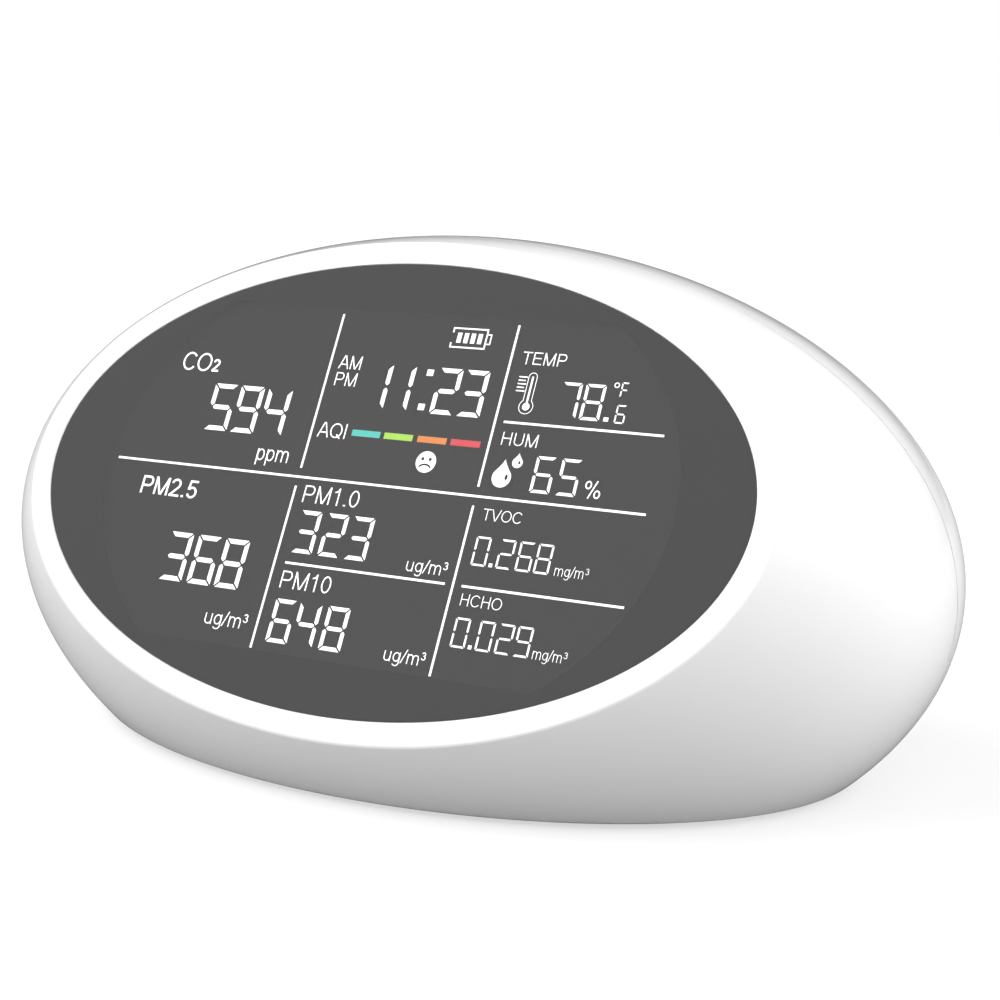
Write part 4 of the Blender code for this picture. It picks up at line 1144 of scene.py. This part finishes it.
def key_sign(shape, name, at, level):
    """A ring with a bar for power, a small ring for set, two arrowheads for adjust."""
    if name == "power":
        band(shape, arc(0, 0, 1.15, 1.15, 125, 415, 24), SIGN_STROKE, *level, at)
        band(shape, [(0, 0.2), (0, 1.5)], SIGN_STROKE, *level, at)
    elif name == "set":
        band(shape, loop(0, 0, 1.0, 1.0), SIGN_STROKE, *level, at)
    else:
        for side in (-1, 1):
            prism(shape, [(-0.8, 0.35 * side), (0.8, 0.35 * side), (0, 1.4 * side)], *level, at)


def make_screws():
    """Pan-head screws with a cross recess, in the wells of the rear shell."""
    for number, (x, z) in enumerate(CASE_SCREWS, 1):
        node = f"case_screw_{number}"
        low, high = box_in_case(node)
        head, tip = high.y, low.y
        underside = head - HEAD_HEIGHT
        corners = [(0, head), (0.9, head - 0.05), (HEAD_RADIUS, head - HEAD_HEIGHT / 2)]
        corners += [(HEAD_RADIUS, underside), (SHANK_RADIUS, underside)]
        corners += [(SHANK_RADIUS, tip + 1.0), (0.4, tip), (0, tip)]
        profile = rounded_profile([(radius, -height) for radius, height in corners], 0.35)
        at = REAR @ Matrix.Translation((x, z, 0))
        screw = lathe(f"case_fixing_{number}", profile, at, 32)
        for size in CROSS:
            arm = (rectangle(0, 0, *size), -head - 1, -head + CROSS_DEPTH)
            carve(screw, prisms("recess", [arm], at))
        finish_piece(screw, STEEL, (node,))


def make_feet():
    """Rubber feet with a shallow hollow below."""
    for name in FEET:
        low, high = box_in_case(f"foot_{name}")
        x, y = ((low + high) / 2).xy
        hollow, rim = low.z + FOOT_HOLLOW, FOOT_RADIUS - FOOT_RIM
        corners = [(0, high.z), (FOOT_RADIUS, high.z), (FOOT_RADIUS, low.z)]
        corners += [(rim, low.z), (rim - 0.2, hollow), (0, hollow)]
        at = CASE @ Matrix.Translation((x, y, 0))
        pad = lathe(f"foot_pad_{name}", rounded_profile(corners, 0.3), at)
        finish_piece(pad, RUBBER, (f"foot_{name}",))


def make_charge_socket():
    """A rounded steel shell with a tongue and contacts inside."""
    low, high = box_in_case("usb_socket")
    back, mouth = -low.y, -high.y
    at = REAR @ Matrix.Translation((0, USB_Z, 0))
    outline = rounded_box_points(0, 0, *USB_SHELL)
    body = link("charge_socket", prisms("body", [(outline, mouth, back)], at))
    inside = rounded_box_points(0, 0, *USB_INSIDE)
    carve(body, prisms("inside", [(inside, mouth - 1, back - 1.2)], at))
    finish_piece(body, STEEL, ("usb_socket",))
    tongue = [(rounded_box_points(0, 0, *USB_TONGUE), mouth + 0.6, back - 1.1)]
    piece = link("charge_tongue", prisms("tongue", tongue, at))
    finish_piece(piece, BLACK)
    contacts = []
    for side in (-1, 1):
        for i in range(8):
            outline = rectangle(-2.45 + 0.7 * i, side * 0.37, 0.3, 0.06)
            contacts.append((outline, mouth + 0.9, back - 1.3))
    piece = link("charge_contacts", prisms("contacts", contacts, at, 0))
    finish_piece(piece, SLOT_MATERIALS["gilt_metal"], smooth=0)


def dress_cad_nodes():
    """Give every CAD node the material of its slot."""
    slots = {part["node"]: part["material_slot"] for part in frame["record"]["subparts"]}
    for name, node in frame["nodes"].items():
        node.data.materials.clear()
        node.data.materials.append(SLOT_MATERIALS[slots[name]])


dress_cad_nodes()
make_front()
make_rear()
make_window()
make_surround()
make_rules()
make_digits()
make_labels()
make_symbols()
make_bars()
make_keys()
make_screws()
make_feet()
make_charge_socket()

# ---- stage ----

# Soft boxes: direction the light comes from, strength and width of the source in degrees.
SOFT_BOXES = (
    ("left", (-0.88, -0.26, 0.4), 4.5, 75),
    ("right", (0.98, 0.0, 0.13), 4.0, 75),
    ("top", (0.1, -0.3, 0.95), 1.2, 75),
    ("rear", (0.75, 0.65, 0.0), 1.5, 80),
)
SKY_LIGHT = 0.12
STUDIO = (0.02, 0.9)  # brightness of what glosses mirror, from the horizon up
FLOOR_SEEN, FLOOR_BOUNCE, FLOOR_GLOW = 0.4, 0.285, 0.6
FLOOR_HALF_WIDTH = 4  # metres
CAMERA_PLACE, CAMERA_AIM = (172.1, -303.3, 81.4), (5.2, 4.8, 8.4)  # from the case's centre
FOCAL_LENGTH, SENSOR_WIDTH = 72, 36
LAMP_DISTANCE = 500


def soft_box(name, source, strength, spread):
    light = bpy.data.lights.new(name, "SUN")
    light.energy = strength
    light.angle = radians(spread)
    lamp = link(name, light)
    aim(lamp, CASE @ (Vector(source) * LAMP_DISTANCE), -Vector(source))
    lamp.visible_glossy = False


def camera_switch(tree, unseen, seen):
    """One value for what the camera sees, another for light on its way."""
    direct = add(tree, "LightPath").outputs["Is Camera Ray"]
    return between(tree, direct, unseen, seen, 0, 1)


def make_world():
    """A white backdrop for the camera, a dim sky for light, and a studio that glosses mirror."""
    world = bpy.data.worlds.new("world")
    bpy.context.scene.world = world
    world.use_nodes = True
    tree = world.node_tree
    sky = tree.nodes["Background"]
    sky.inputs["Color"].default_value = (1, 1, 1, 1)
    direction = add(tree, "TexCoord").outputs["Generated"]
    rise = add(tree, "SeparateXYZ", {0: direction}).outputs["Z"]
    studio = between(tree, rise, *STUDIO, 0.1, 0.9)
    mirror = add(tree, "LightPath").outputs["Is Glossy Ray"]
    light = between(tree, mirror, SKY_LIGHT, studio, 0, 1)
    set_input(tree, sky, "Strength", camera_switch(tree, light, 1.0))


def floor_material():
    """Pale studio floor that returns little light to the object's underside."""

    def tone(tree):
        share = camera_switch(tree, FLOOR_BOUNCE, FLOOR_SEEN)
        pale = mixed(tree, noise(tree, 60), (0.99, 0.99, 0.99), (1, 1, 1))
        return mixed(tree, share, (0, 0, 0), pale)

    glow = {"Emission Color": (1, 1, 1, 1)}
    glow["Emission Strength"] = lambda t: camera_switch(t, 0, FLOOR_GLOW)
    glow["Specular IOR Level"] = 0.0
    return surface("floor", tone, 0.9, **glow)


def make_stage():
    shape = bmesh.new()
    bmesh.ops.create_grid(shape, x_segments=1, y_segments=1, size=FLOOR_HALF_WIDTH)
    floor = link("floor", mesh_of("floor", shape, 0))
    floor.data.materials.append(floor_material())
    for box in SOFT_BOXES:
        soft_box(*box)
    camera = link("camera", bpy.data.cameras.new("camera"))
    bpy.context.scene.camera = camera
    camera.data.lens = FOCAL_LENGTH
    camera.data.sensor_width = SENSOR_WIDTH
    place_seen = CASE @ Vector(CAMERA_AIM)
    aim(camera, CASE @ Vector(CAMERA_PLACE), place_seen - CASE @ Vector(CAMERA_PLACE))
    bpy.context.scene.view_settings.view_transform = "Standard"


make_world()
make_stage()
